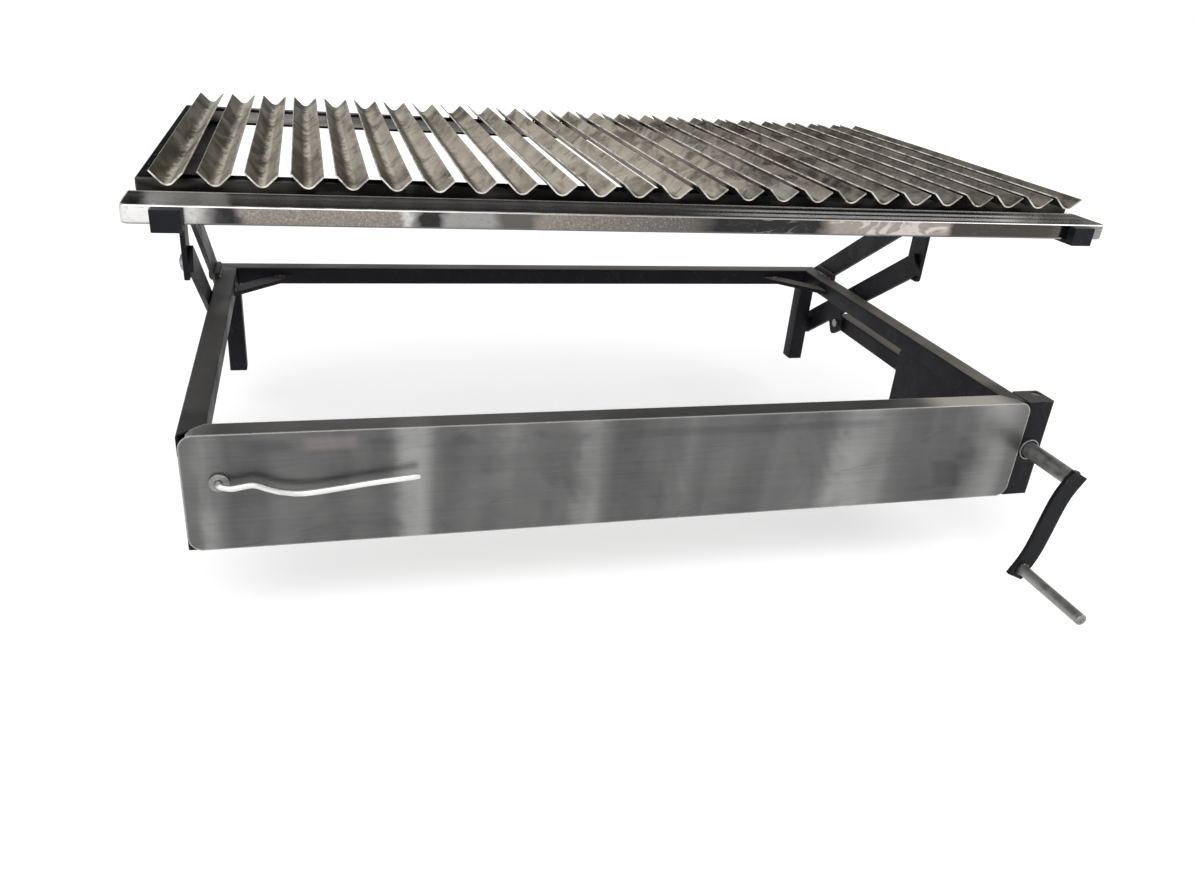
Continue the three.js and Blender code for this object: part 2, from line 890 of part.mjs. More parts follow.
const lowerLinks = bodyGroup("lower_links");
placeLink(lowerLinks, "right_lower_link", 1, linkWithLug(), pivotLow);
placeLink(lowerLinks, "left_lower_link", -1, plainLink(), pivotLow);
place(lowerLinks, "lug_bolt", lugBolt(), steel.dark);

const carriage = bodyGroup("carriage");
placePair(carriage, "arm", carriageArm(), steel.black);
placePair(carriage, "hanger", hanger(), steel.black);
placePair(carriage, "grid_tube", gridSide(), steel.brushed);
place(carriage, "front_grid_tube", gridCross(gridFront), steel.brushed);
place(carriage, "rear_grid_tube", gridCross(gridFront + gridDepth - gridTube), steel.brushed);
place(carriage, "grease_trough", greaseTrough(), steel.bright);
const barShape = grateBar();
for (let i = 0; i < barCount; i += 1) {
  const bar = place(carriage, "v_bar_" + String(i + 1).padStart(2, "0"), barShape, steel.brushed);
  bar.position.set((i - (barCount - 1) / 2) * barPitch, 0, gridTop + seatGap);
}

const drive = bodyGroup("drive");
place(drive, "drive_tube", drivePushTube(), steel.black);
place(drive, "spindle_nut", spindleNut(), steel.dark);

const crankCarrier = bodyGroup("crank_carrier");
place(crankCarrier, "shaft_carrier", carrier(), steel.dark);

const crank = bodyGroup("crank");
place(crank, "crank_shaft", crankShaft(), steel.dark);
place(crank, "crank_arm", crankArm(), steel.black);
place(crank, "crank_grip", crankGrip(), steel.dark);

const lever = bodyGroup("lever");
place(lever, "front_lever", frontLever(), steel.bright);

export default grill;
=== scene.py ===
import json
import math

import bmesh
import bpy
import numpy as np
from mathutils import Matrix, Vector


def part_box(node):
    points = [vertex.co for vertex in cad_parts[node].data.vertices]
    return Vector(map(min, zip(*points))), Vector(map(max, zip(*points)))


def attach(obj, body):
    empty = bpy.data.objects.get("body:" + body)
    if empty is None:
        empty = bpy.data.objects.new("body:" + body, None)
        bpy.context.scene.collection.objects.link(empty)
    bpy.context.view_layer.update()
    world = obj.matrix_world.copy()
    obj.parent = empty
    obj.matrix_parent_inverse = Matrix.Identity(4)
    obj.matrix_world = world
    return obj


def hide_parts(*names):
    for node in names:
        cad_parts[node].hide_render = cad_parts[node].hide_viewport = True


# A built-in grill whose grate of V bars is cranked up and down on two pairs of links.
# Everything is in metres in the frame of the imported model, half raised as in the photograph.

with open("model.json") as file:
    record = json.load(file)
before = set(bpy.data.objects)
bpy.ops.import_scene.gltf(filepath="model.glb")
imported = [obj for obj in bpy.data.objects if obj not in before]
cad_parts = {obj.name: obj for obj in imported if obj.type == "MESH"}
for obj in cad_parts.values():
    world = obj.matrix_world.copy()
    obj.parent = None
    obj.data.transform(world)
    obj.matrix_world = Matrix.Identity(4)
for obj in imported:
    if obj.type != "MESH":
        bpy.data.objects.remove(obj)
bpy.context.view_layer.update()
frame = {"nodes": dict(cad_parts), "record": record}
print("frame loaded, nodes:", len(frame["nodes"]))


# Meshes

meshing = {"double": 1e-6, "cadDouble": 2e-6, "flatAngle": 0.4, "bevelAngle": 40, "copySharp": 28,
           "around": 48, "tiny": 0.0001}


def addToScene(name, data):
    # an object of the data, in the scene
    thing = bpy.data.objects.new(name, data)
    bpy.context.scene.collection.objects.link(thing)
    return thing


def addPiece(name, mesh, material, body, replaced, sharpAngle, bevel=None):
    # the finished mesh, smooth up to the sharp angle, rides on its body and stands for the replaced nodes
    mesh.shade_smooth()
    mesh.set_sharp_from_angle(angle=math.radians(sharpAngle))
    mesh.materials.clear()
    mesh.materials.append(material)
    piece = addToScene(name, mesh)
    if bevel:
        soft = piece.modifiers.new("softEdge", "BEVEL")
        soft.width, soft.segments = bevel
        soft.limit_method, soft.angle_limit = "ANGLE", math.radians(meshing["bevelAngle"])
    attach(piece, body)
    if replaced:
        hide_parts(*replaced)


def newPiece(name, points, faces, body, material, replaced=(), sharpAngle=32, marks=None):
    # a mesh of the points and faces, with its doubles merged and its faces turned outwards
    mesh = bpy.data.meshes.new(name)
    mesh.from_pydata(points.tolist(), [], faces)
    for label, values in (marks or {}).items():  # a value for each point, which the material reads
        values = np.asarray(values, dtype=np.float32).ravel()
        mesh.attributes.new(label, "FLOAT", "POINT").data.foreach_set("value", values)
    work = bmesh.new()
    work.from_mesh(mesh)
    bmesh.ops.remove_doubles(work, verts=work.verts, dist=meshing["double"])
    bmesh.ops.recalc_face_normals(work, faces=work.faces)
    work.to_mesh(mesh)
    work.free()
    addPiece(name, mesh, material, body, replaced, sharpAngle)


def softenedCopy(node, material, width, steps):
    # the CAD node's surface with its doubles merged, its flat faces made whole and its sharp edges rounded
    mesh = frame["nodes"][node].data.copy()
    flat = math.radians(meshing["flatAngle"])
    work = bmesh.new()
    work.from_mesh(mesh)
    bmesh.ops.remove_doubles(work, verts=work.verts, dist=meshing["cadDouble"])
    bmesh.ops.dissolve_limit(work, angle_limit=flat, verts=work.verts, edges=work.edges)
    work.to_mesh(mesh)
    work.free()
    addPiece(node + "_fine", mesh, material, bodyOf(node), [node], meshing["copySharp"],
             (width, steps))


def bodyOf(node):
    # the body whose list in the record holds the node
    return next(body for body, nodes in frame["record"]["behaviour"]["bodies"].items() if node in nodes)


def loft(loops):
    # loops[i, j] is point j of closed loop i; quads join each loop to the next, and both ends are closed
    count, around = loops.shape[:2]
    index = np.arange(count * around).reshape(count, around)
    here, there = index[:-1], index[1:]
    quads = np.stack([here, np.roll(here, -1, 1), np.roll(there, -1, 1), there], axis=-1).reshape(-1, 4)
    return loops.reshape(-1, 3), quads.tolist() + [index[0][::-1].tolist(), index[-1].tolist()]


def turned(profile, origin, axis):
    # rows of the profile are (t, r): origin + t axis + r (cos a side + sin a up) for a once round
    axis = np.asarray(axis, float)
    side = np.cross(axis, [0.0, 0.0, 1.0])  # no axis here is upright
    side /= np.linalg.norm(side)
    up = np.cross(axis, side)
    turn = np.linspace(0, 2 * np.pi, meshing["around"], endpoint=False)
    ringOut = np.cos(turn)[:, None] * side + np.sin(turn)[:, None] * up
    profile = np.asarray(profile, float)
    return loft(origin + profile[:, 0, None, None] * axis + profile[:, 1, None, None] * ringOut)


def alongPath(path, section):
    # section[i] holds the (across, up) offsets at place i of the path, whose frame turns with the least twist
    tangent = np.gradient(path, axis=0)
    tangent /= np.linalg.norm(tangent, axis=1, keepdims=True)
    start = np.cross(tangent[0], [0.0, 0.0, 1.0] if abs(tangent[0][2]) < 0.9 else [1.0, 0.0, 0.0])
    side = np.empty_like(path)
    side[0] = start / np.linalg.norm(start)
    for i in range(1, len(path)):  # one step for each place along the path
        step = side[i - 1] - tangent[i] * (side[i - 1] @ tangent[i])
        side[i] = step / np.linalg.norm(step)
    up = np.cross(tangent, side)
    return loft(path[:, None] + section[..., 0, None] * side[:, None] + section[..., 1, None] * up[:, None])


def circle(radius, around):
    # r cos a, r sin a
    turn = np.linspace(0, 2 * np.pi, around, endpoint=False)
    return np.column_stack([radius * np.cos(turn), radius * np.sin(turn)])


def smoothPath(points, count):
    # a Catmull-Rom curve through the points, evenly spread by its parameter
    points = np.asarray(points, float)
    padded = np.vstack([2 * points[0] - points[1], points, 2 * points[-1] - points[-2]])
    at = np.linspace(0, len(points) - 1 - 1e-9, count)
    i, t = at.astype(int), (at % 1)[:, None]
    a, b, c, d = (padded[i + k] for k in range(4))
    return 0.5 * (2 * b + (c - a) * t + (2 * a - 5 * b + 4 * c - d) * t**2 + (3 * b - a - 3 * c + d) * t**3)


# Shader nodes

def fill(tree, sockets, values):
    # each socket named in values is linked where its value is a socket, and set where it is plain
    for key, value in values.items():
        if isinstance(value, bpy.types.NodeSocket):
            tree.links.new(value, sockets[key])
        else:
            sockets[key].default_value = value


def addNode(tree, kind, inputs=None, **settings):
    # a node with these settings and inputs
    node = tree.nodes.new(kind)
    for key, value in settings.items():
        setattr(node, key, value)
    fill(tree, node.inputs, inputs or {})
    return node


def follow(kind, inputs, **settings):
    # a node in the tree of the first input that is a socket
    tree = next(value.id_data for value in inputs.values() if isinstance(value, bpy.types.NodeSocket))
    return addNode(tree, kind, inputs, **settings)


def maths(operation, a, b=0.0):
    # the operation on a and b
    return follow("ShaderNodeMath", {0: a, 1: b}, operation=operation).outputs[0]


def times(*values):
    # the product of the values
    product = values[0]
    for value in values[1:]:
        product = maths("MULTIPLY", product, value)
    return product


def weighted(*parts):
    # the sum of value times weight
    total = times(*parts[0])
    for part in parts[1:]:
        total = maths("ADD", total, times(*part))
    return total


def shifted(value, wander, reach):
    # value + (wander - 0.5) reach
    return maths("ADD", value, times(maths("SUBTRACT", wander, 0.5), reach))


def spread(value, low, high, toLow=0.0, toHigh=1.0, curve="SMOOTHSTEP"):
    # toLow below low and toHigh above high, with a smooth step or a straight line between
    ends = {"Value": value, "From Min": low, "From Max": high, "To Min": toLow, "To Max": toHigh}
    return follow("ShaderNodeMapRange", ends, interpolation_type=curve).outputs["Result"]


def hump(value, middle, half):
    # 1 near the middle and 0 beyond half: 1 less a smooth step of |value - middle|
    away = maths("ABSOLUTE", maths("SUBTRACT", value, middle))
    return spread(away, half * 0.15, half, 1.0, 0.0)


def box(value, low, high, soft):
    # 1 between low and high, 0 outside, with soft ends
    return times(spread(value, low, low + soft), spread(value, high - soft, high, 1.0, 0.0))


def clamped(value):
    # the value, kept between 0 and 1
    return follow("ShaderNodeClamp", {"Value": value}).outputs[0]


def stretched(vector, factors):
    # the vector times the factors, axis by axis
    return follow("ShaderNodeVectorMath", {0: vector, 1: factors}, operation="MULTIPLY").outputs[0]


def axesOf(vector):
    # the vector's X, Y and Z
    return follow("ShaderNodeSeparateXYZ", {0: vector}).outputs


def facing(tree, axis):
    # how far the surface faces along the axis, from -1 to 1
    return axesOf(addNode(tree, "ShaderNodeNewGeometry").outputs["Normal"])[axis]


def mark(tree, label):
    # the value that the mesh carries under this label for each point, 0 where it has none
    return addNode(tree, "ShaderNodeAttribute", attribute_name=label).outputs["Fac"]


def noise(vector, scale, detail, roughness=0.5, warp=0.0):
    # smooth noise with scale bumps to one unit of the vector
    given = {"Vector": vector, "Scale": scale, "Detail": detail, "Roughness": roughness, "Distortion": warp}
    return follow("ShaderNodeTexNoise", given).outputs["Fac"]


def asColour(tone):
    # a colour of three numbers, or a grey of one, made solid
    return (*(tone if isinstance(tone, tuple) else [tone] * 3), 1)


def ramp(value, stops):
    # stops are (place, colour or grey)
    node = follow("ShaderNodeValToRGB", {"Fac": value})
    elements = node.color_ramp.elements
    while len(elements) < len(stops):
        elements.new(0.5)
    for element, (place, tone) in zip(elements, stops):
        element.position = place
        element.color = asColour(tone)
    return node.outputs["Color"]


def mixed(factor, a, b):
    # a where the factor is 0, b where it is 1
    a, b = (tone if isinstance(tone, bpy.types.NodeSocket) else asColour(tone) for tone in (a, b))
    return follow("ShaderNodeMix", {"Factor": factor, 6: a, 7: b}, data_type="RGBA").outputs[2]


def layered(colour, *layers):
    # layers are (mask, colour), each laid over those before it
    for mask, tone in layers:
        colour = mixed(mask, colour, tone)
    return colour


# Shader groups

def shaderGroup(name, outputs, **inputs):
    # a group with a Vector input, inputs of the kinds that their values have, and number outputs
    group = bpy.data.node_groups.new(name, "ShaderNodeTree")
    group.interface.new_socket("Vector", in_out="INPUT", socket_type="NodeSocketVector")
    for label, value in inputs.items():
        kind = "NodeSocketVector" if isinstance(value, tuple) else "NodeSocketFloat"
        group.interface.new_socket(label, in_out="INPUT", socket_type=kind).default_value = value
    for label in outputs:
        group.interface.new_socket(label, in_out="OUTPUT", socket_type="NodeSocketFloat")
    return group, group.nodes.new("NodeGroupInput").outputs, group.nodes.new("NodeGroupOutput").inputs


def useGroup(group, **inputs):
    # the group placed in the tree of its Vector, with its own values
    return follow("ShaderNodeGroup", inputs, node_tree=group).outputs


def cloudGroup():
    # soft polishing clouds of the given size, and a noise 6.3 times finer
    group, given, made = shaderGroup("polishClouds", ["Mask", "Fine"], Size=0.05, Detail=5.0, Warp=1.0)
    scale = maths("DIVIDE", 1.0, given["Size"])
    large = noise(given["Vector"], scale, given["Detail"], 0.62, given["Warp"])
    fine = noise(given["Vector"], times(scale, 6.3), 4.0, 0.7)
    fill(group, made, {"Mask": spread(large, 0.32, 0.68), "Fine": fine})
    return group


def grainGroup():
    # brushing lines: a noise squeezed hard across the brushing, given by a scale for each axis
    group, given, made = shaderGroup("brushLines", ["Lines", "Broad"], Stretch=(1, 1, 1))
    scaled = stretched(given["Vector"], given["Stretch"])
    fill(group, made, {"Lines": noise(scaled, 1.0, 3.0, 0.75), "Broad": noise(scaled, 0.13, 2.0)})
    return group


def edgeGroup():
    # edges, for wear and for painted highlights: where a rounded normal leaves the flat one, broken up by a
    # noise
    group, given, made = shaderGroup("edgeWearAndHighlight", ["Mask"], Radius=0.001, Break=0.5)
    rounded = addNode(group, "ShaderNodeBevel", {"Radius": given["Radius"]}, samples=4).outputs[0]
    flat = addNode(group, "ShaderNodeNewGeometry").outputs["Normal"]
    along = follow("ShaderNodeVectorMath", {0: rounded, 1: flat}, operation="DOT_PRODUCT").outputs["Value"]
    edge = spread(maths("SUBTRACT", 1.0, along), 0.02, 0.22)
    gaps = spread(noise(given["Vector"], 260.0, 3.0, 0.6), 0.35, 0.65)
    kept = maths("SUBTRACT", 1.0, times(given["Break"], gaps))
    fill(group, made, {"Mask": times(edge, kept)})
    return group


def scratchGroup():
    # thin stray scratches: the narrow seams between long, turned cells
    group, given, made = shaderGroup("strayScratches", ["Mask"], Stretch=(1, 1, 1), Turn=(0, 0, 0),
                                     Width=0.02)
    turnedBy = follow("ShaderNodeVectorRotate", {"Vector": given["Vector"], "Rotation": given["Turn"]},
                      rotation_type="EULER_XYZ").outputs[0]
    scaled = stretched(turnedBy, given["Stretch"])
    cells = follow("ShaderNodeTexVoronoi", {"Vector": scaled, "Scale": 1.0},
                   feature="DISTANCE_TO_EDGE").outputs["Distance"]
    line = maths("SUBTRACT", 1.0, maths("DIVIDE", cells, given["Width"]))
    kept = spread(noise(given["Vector"], 31.0, 1.0), 0.5, 0.62)
    fill(group, made, {"Mask": times(clamped(line), kept)})
    return group


polishClouds, brushLines, edgeWearAndHighlight, strayScratches = cloudGroup(), grainGroup(), edgeGroup(), scratchGroup()


# Materials

def startMaterial(name):
    # a material, its nodes, the inputs of its surface, and the place on the object
    material = bpy.data.materials.new(name)
    material.use_nodes = True
    tree = material.node_tree
    place = addNode(tree, "ShaderNodeTexCoord").outputs["Object"]
    return material, tree, tree.nodes["Principled BSDF"].inputs, place


def finishMaterial(tree, surface, colour, roughness, metallic, height, strength, distance):
    # the surface's values, with a bump of the height times the distance at the given strength
    bump = addNode(tree, "ShaderNodeBump", {"Height": height, "Strength": strength, "Distance": distance})
    fill(tree, surface, {"Base Color": colour, "Roughness": roughness, "Metallic": metallic,
                         "Normal": bump.outputs["Normal"]})


barSteel = {"dark": (0.044, 0.043, 0.033), "mid": (0.128, 0.124, 0.102), "pale": (0.4, 0.375, 0.318),
            "highlightCream": (0.66, 0.615, 0.54), "beige": (0.45, 0.4, 0.34), "brown": (0.135, 0.121, 0.11),
            "darkBrown": (0.034, 0.031, 0.027), "edge": (0.9, 0.88, 0.83), "grazing": (0.5, 0.48, 0.45)}
# where the bars' colours, painted shade and painted highlights lie: (start, end) along X or across the bar,
# or (middle, half width) for a hump
barZones = {"beigeX": (-0.14, 0.32), "beigeY": (0.22, 0.3), "brownX": (0.0, 0.24), "darkBrownX": (0.12, 0.45),
            "shadeX": (-0.5, -0.05), "highlightX": (-0.45, 0.1), "shadeAcross": (0.3, 0.56),
            "lightAcross": (0.28, 0.62), "highlightAcross": (0.66, 0.24), "rimHighlightAcross": (0.84, 1.06)}


def makeBarSteel():
    # olive clouds, a painted cream highlight right of the fold, a painted pale highlight on the rim and
    # painted shade on the left face; beige bars in the middle, brown and darker on the right
    material, tree, surface, place = startMaterial("stainlessBar")
    axes, zones = axesOf(place), barZones
    squeezed = stretched(place, (1.0, 0.5, 1.0))
    clouds = useGroup(polishClouds, Vector=squeezed, Size=0.04, Detail=4.0, Warp=1.2)
    broad = useGroup(polishClouds, Vector=place, Size=0.13, Detail=2.0, Warp=0.5)
    darkBrown = useGroup(polishClouds, Vector=place, Size=0.03, Detail=3.0, Warp=0.5)
    lines = useGroup(brushLines, Vector=place, Stretch=(500.0, 45.0, 500.0))
    across = mark(tree, "across")  # 0 at the bar's left rim, 1 at its right
    bent = shifted(across, clouds["Fine"], 0.7)
    # the right face of the fold is painted lighter, as if lit, by the share across
    tone = weighted((clouds["Mask"], 0.4), (clouds["Fine"], 0.24), (lines["Lines"], 0.14),
                    (broad["Mask"], 0.16), (spread(across, *zones["lightAcross"]), 0.22))
    colour = ramp(tone, [(0.34, barSteel["dark"]), (0.54, barSteel["mid"]), (0.76, barSteel["pale"])])
    beige = times(hump(axes["X"], *zones["beigeX"]), hump(axes["Y"], *zones["beigeY"]), 0.68)
    # dark brown in the darker clouds of the brown bars, towards the right and in small clouds
    browned = mixed(spread(tone, 0.4, 0.72), barSteel["darkBrown"], barSteel["brown"])
    brown = times(spread(axes["X"], *zones["brownX"]), spread(broad["Mask"], 0.0, 0.9, 0.98, 0.75))
    # painted shade on the left face of the fold, more on the bars at the left
    shaded = times(spread(bent, *zones["shadeAcross"], 0.75, 0.0),
                   spread(axes["X"], *zones["shadeX"], 1.0, 0.3))
    # painted highlight: a cream streak right of the fold and a pale rim, more on the bars at the left
    highlightStreak = times(hump(bent, *zones["highlightAcross"]), spread(broad["Mask"], 0.1, 0.7, 0.35, 1.0))
    rim = times(spread(bent, *zones["rimHighlightAcross"]), 0.9)
    light = times(maths("MAXIMUM", highlightStreak, rim), spread(axes["X"], *zones["highlightX"], 1.0, 0.15))
    # painted highlight on the cut ends and the sheet's rims, stronger on each bar's left half
    cutEndHighlight = times(spread(mark(tree, "edge"), 0.45, 0.95),
                    spread(broad["Fine"], 0.4, 0.56, 0.28, 0.75), spread(across, 0.5, 0.8, 1.0, 0.45))
    colour = layered(colour, (beige, barSteel["beige"]), (brown, browned),
                     (spread(axes["X"], *zones["darkBrownX"], 0.0, 0.45), barSteel["darkBrown"]),
                     (shaded, barSteel["dark"]), (light, barSteel["highlightCream"]),
                     (times(spread(darkBrown["Mask"], 0.75, 1.0), 0.45), barSteel["darkBrown"]),
                     (cutEndHighlight, barSteel["edge"]))
    surface["Specular Tint"].default_value = asColour(barSteel["grazing"])
    finishMaterial(tree, surface, colour, spread(clouds["Mask"], 0.0, 1.0, 0.48, 0.34), 1.0,
                   weighted((clouds["Fine"], 1.0), (lines["Lines"], 0.5)), 0.12, 0.0005)
    return material


panelSteel = {"low": (0.082, 0.081, 0.081), "mid": (0.15, 0.149, 0.148), "high": (0.42, 0.418, 0.413),
              "rim": (0.7, 0.69, 0.67), "shadeBlue": (0.062, 0.061, 0.07), "warm": (0.27, 0.235, 0.215),
              "beige": (0.62, 0.57, 0.5), "dim": (0.055, 0.053, 0.049), "scratch": 0.06}
# painted reflection in light bands down the panel: place from its middle, half width, strength
panelReflectionBands = [(-0.473, 0.02, 0.55), (-0.268, 0.03, 0.85), (-0.165, 0.03, 0.25), (-0.073, 0.034, 0.55),
              (0.04, 0.03, 0.3), (0.268, 0.062, 0.9), (0.455, 0.055, 0.7)]
# painted shade in soft dim oblongs on the panel: left end, right end, lower and upper edge, strength; and a
# warm one
panelPaintedShades = [(-0.4435, -0.3845, 0.108, 0.129, 0.42), (-0.3212, -0.2693, 0.11, 0.126, 0.32),
               (-0.23, -0.1945, 0.107, 0.127, 0.38), (-0.1412, -0.1115, 0.11, 0.129, 0.38),
               (-0.0385, 0.2975, 0.105, 0.124, 0.3), (0.12, 0.33, 0.044, 0.051, 0.28),
               (0.3455, 0.3954, 0.016, 0.062, 0.42)]
panelWarm = (-0.3845, -0.3212, 0.108, 0.13, 0.4)


def oblong(x, z, soft, left, right, low, high, strength):
    # the strength inside the oblong and 0 outside, with soft ends and edges
    return times(box(x, left, right, soft), box(z, low, high, 0.008), strength)


def makePanelSteel():
    # brushed grey with a painted reflection in light bands, painted shade in dim oblongs and a painted
    # highlight on its edges; the return along its top has painted shade, and is pale at its right
    material, tree, surface, place = startMaterial("brushedPanel")
    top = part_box("front_panel")[1][2]
    bandPlace = stretched(place, (1.0, 1.0, 0.12))
    bands = useGroup(polishClouds, Vector=bandPlace, Size=0.055, Detail=1.5, Warp=0.15)
    clouds = useGroup(polishClouds, Vector=place, Size=0.11, Detail=3.0, Warp=0.9)
    lines = useGroup(brushLines, Vector=place, Stretch=(14.0, 900.0, 1700.0))
    scratches = useGroup(strayScratches, Vector=place, Stretch=(5.0, 60.0, 60.0), Turn=(0.0, 0.12, 0.0),
                         Width=0.03)
    # painted highlight on the panel's edges and top fold
    edge = useGroup(edgeWearAndHighlight, Vector=place, Radius=0.003, Break=0.15)
    axes = axesOf(place)
    wander = shifted(axes["X"], clouds["Mask"], 0.008)
    # painted reflection: light bands down the panel
    light = weighted(*[(hump(wander, middle, half), strength) for middle, half, strength in panelReflectionBands])
    tone = weighted((bands["Mask"], 0.14), (clouds["Mask"], 0.12), (lines["Lines"], 0.26),
                    (lines["Broad"], 0.1), (light, 0.38))
    colour = ramp(tone, [(0.14, panelSteel["low"]), (0.42, panelSteel["mid"]), (0.95, panelSteel["high"])])
    # painted shade in the dim blue oblongs, slanted with height
    slanted = maths("ADD", wander, times(maths("SUBTRACT", axes["Z"], 0.115), 0.45))
    shades = weighted(*[(oblong(slanted, axes["Z"], 0.016, *shade),) for shade in panelPaintedShades])
    # painted shade: the return along the top is dim
    onTop = spread(axes["Z"], top - 0.0008, top - 0.0002)
    colour = layered(colour, (oblong(wander, axes["Z"], 0.014, *panelWarm), panelSteel["warm"]),
                     (clamped(shades), panelSteel["shadeBlue"]), (times(onTop, 0.7), panelSteel["dim"]),
                     (times(onTop, box(axes["X"], 0.34, 0.5, 0.05)), panelSteel["beige"]),
                     (times(scratches["Mask"], 0.25), panelSteel["scratch"]),
                     (edge["Mask"], panelSteel["rim"]))
    finishMaterial(tree, surface, colour, spread(lines["Lines"], 0.2, 0.8, 0.28, 0.44), 1.0,
                   lines["Lines"], 0.1, 0.0003)
    return material


# painted reflection of a room in soft patches of the given size, squeezed along each axis; painted shade
# makes the left, right and front ring tubes near black, and the rear ring tube is a lighter, lit copy
brightSteels = {
    "shadedRingTube": {"low": 0.008, "mid": (0.022, 0.021, 0.019), "high": (0.1, 0.096, 0.088),
                 "edge": (0.3, 0.29, 0.27), "patch": 0.05, "along": (0.6, 0.6, 1.0), "roughness": 0.3,
                 "grazing": 0.12},
    "litRearRingTube": {"low": (0.09, 0.087, 0.082), "mid": (0.2, 0.192, 0.18), "high": (0.4, 0.39, 0.37),
                     "edge": 0.03, "patch": 0.05, "along": (0.3, 0.6, 1.0), "roughness": 0.3,
                     "grazing": 0.6, "shadeBorder": 0.012, "litHeights": (0.3553, 0.3697)},
    "zincHead": {"low": (0.14, 0.145, 0.15), "mid": (0.26, 0.265, 0.27), "high": (0.45, 0.455, 0.46),
                 "edge": 0.5, "patch": 0.012, "along": (1.0, 1.0, 1.0), "roughness": 0.4,
                 "grazing": 1.0},
    "brightRod": {"low": (0.66, 0.655, 0.645), "mid": (0.76, 0.755, 0.74), "high": (0.86, 0.855, 0.84),
                  "edge": (0.86, 0.85, 0.83), "patch": 0.05, "along": (1.0, 1.0, 1.0), "roughness": 0.3,
                  "grazing": 1.0},
}


def makeBrightSteel(name):
    # painted reflection patches and brushing lines; where there is a shade border, painted shade lies above
    # and below the lit heights, which alone are bright
    material, tree, surface, place = startMaterial(name)
    look = brightSteels[name]
    patches = useGroup(polishClouds, Vector=stretched(place, look["along"]), Size=look["patch"],
                       Detail=2.0, Warp=0.8)
    lines = useGroup(brushLines, Vector=place, Stretch=(9.0, 1000.0, 1000.0))
    edge = useGroup(edgeWearAndHighlight, Vector=place, Radius=0.0012, Break=0.6)
    tone = weighted((patches["Mask"], 0.46), (lines["Lines"], 0.34), (lines["Broad"], 0.2))
    colour = ramp(tone, [(0.2, look["low"]), (0.5, look["mid"]), (0.85, look["high"])])
    # painted shade along the tube's top and bottom, bright only between the lit heights
    if "shadeBorder" in look:
        colour = mixed(box(axesOf(place)["Z"], *look["litHeights"], 0.001), look["shadeBorder"], colour)
    # painted highlight on the edges, and painted shade on the lit rear tube's edges
    colour = mixed(times(edge["Mask"], 0.7), colour, look["edge"])
    surface["Specular Tint"].default_value = asColour(look["grazing"])
    roughness = spread(patches["Fine"], 0.2, 0.8, look["roughness"], look["roughness"] + 0.12)
    finishMaterial(tree, surface, colour, roughness, 1.0, patches["Fine"], 0.08, 0.0004)
    return material


paintedReflectionTones = {"silver": (0.66, 0.655, 0.645), "light": (0.52, 0.515, 0.5), "grey": (0.27, 0.265, 0.255),
               "dark": (0.03, 0.029, 0.03), "warmBlack": (0.06, 0.054, 0.048), "brown": (0.23, 0.205, 0.18),
               "umber": (0.07, 0.062, 0.052), "dusk": (0.105, 0.098, 0.09), "rose": (0.52, 0.47, 0.435),
               "shadeBlue": (0.2, 0.203, 0.22), "rim": (0.95, 0.94, 0.92)}
# painted reflection of a room on the trough's front, from its left end: share of the length and tone
paintedReflectionStops = [(0.0, "silver"), (0.024, "silver"), (0.032, "grey"), (0.045, "grey"), (0.056, "light"),
               (0.068, "grey"), (0.079, "dark"), (0.092, "dark"), (0.097, "brown"), (0.232, "brown"),
               (0.236, "silver"), (0.242, "grey"), (0.25, "dark"), (0.266, "dark"), (0.272, "grey"),
               (0.314, "grey"), (0.324, "dusk"), (0.352, "dusk"), (0.36, "brown"), (0.515, "dusk"),
               (0.535, "dark"), (0.645, "dark"), (0.66, "brown"), (0.797, "brown"), (0.803, "warmBlack"),
               (0.925, "warmBlack"), (0.945, "dusk"), (1.0, "grey")]
# greys of the painted reflection up the inside of the trough's back wall, left and right: share of the height
# seen and grey
insideLeft = [(0.0, 0.17), (0.12, 0.07), (0.3, 0.13), (0.56, 0.14), (0.66, 0.22), (0.8, 0.17), (0.9, 0.06),
              (1.0, 0.18)]
insideRight = [(0.0, 0.13), (0.07, 0.15), (0.12, 1.0), (0.3, 1.0), (0.36, 0.05), (0.44, 0.04), (0.5, 0.95),
               (0.62, 0.95), (0.68, 0.04), (0.82, 0.03), (0.9, 0.5), (1.0, 0.5)]
# shares of the trough's length where the painted reflection on its front has mottled brown, sharp pale
# patches and swirls
troughZones = {"leftMottle": (0.092, 0.233, 0.006), "midMottle": (0.352, 0.52, 0.02),
               "pale": (0.655, 0.805, 0.012), "swirl": (0.57, 0.63, 0.02)}


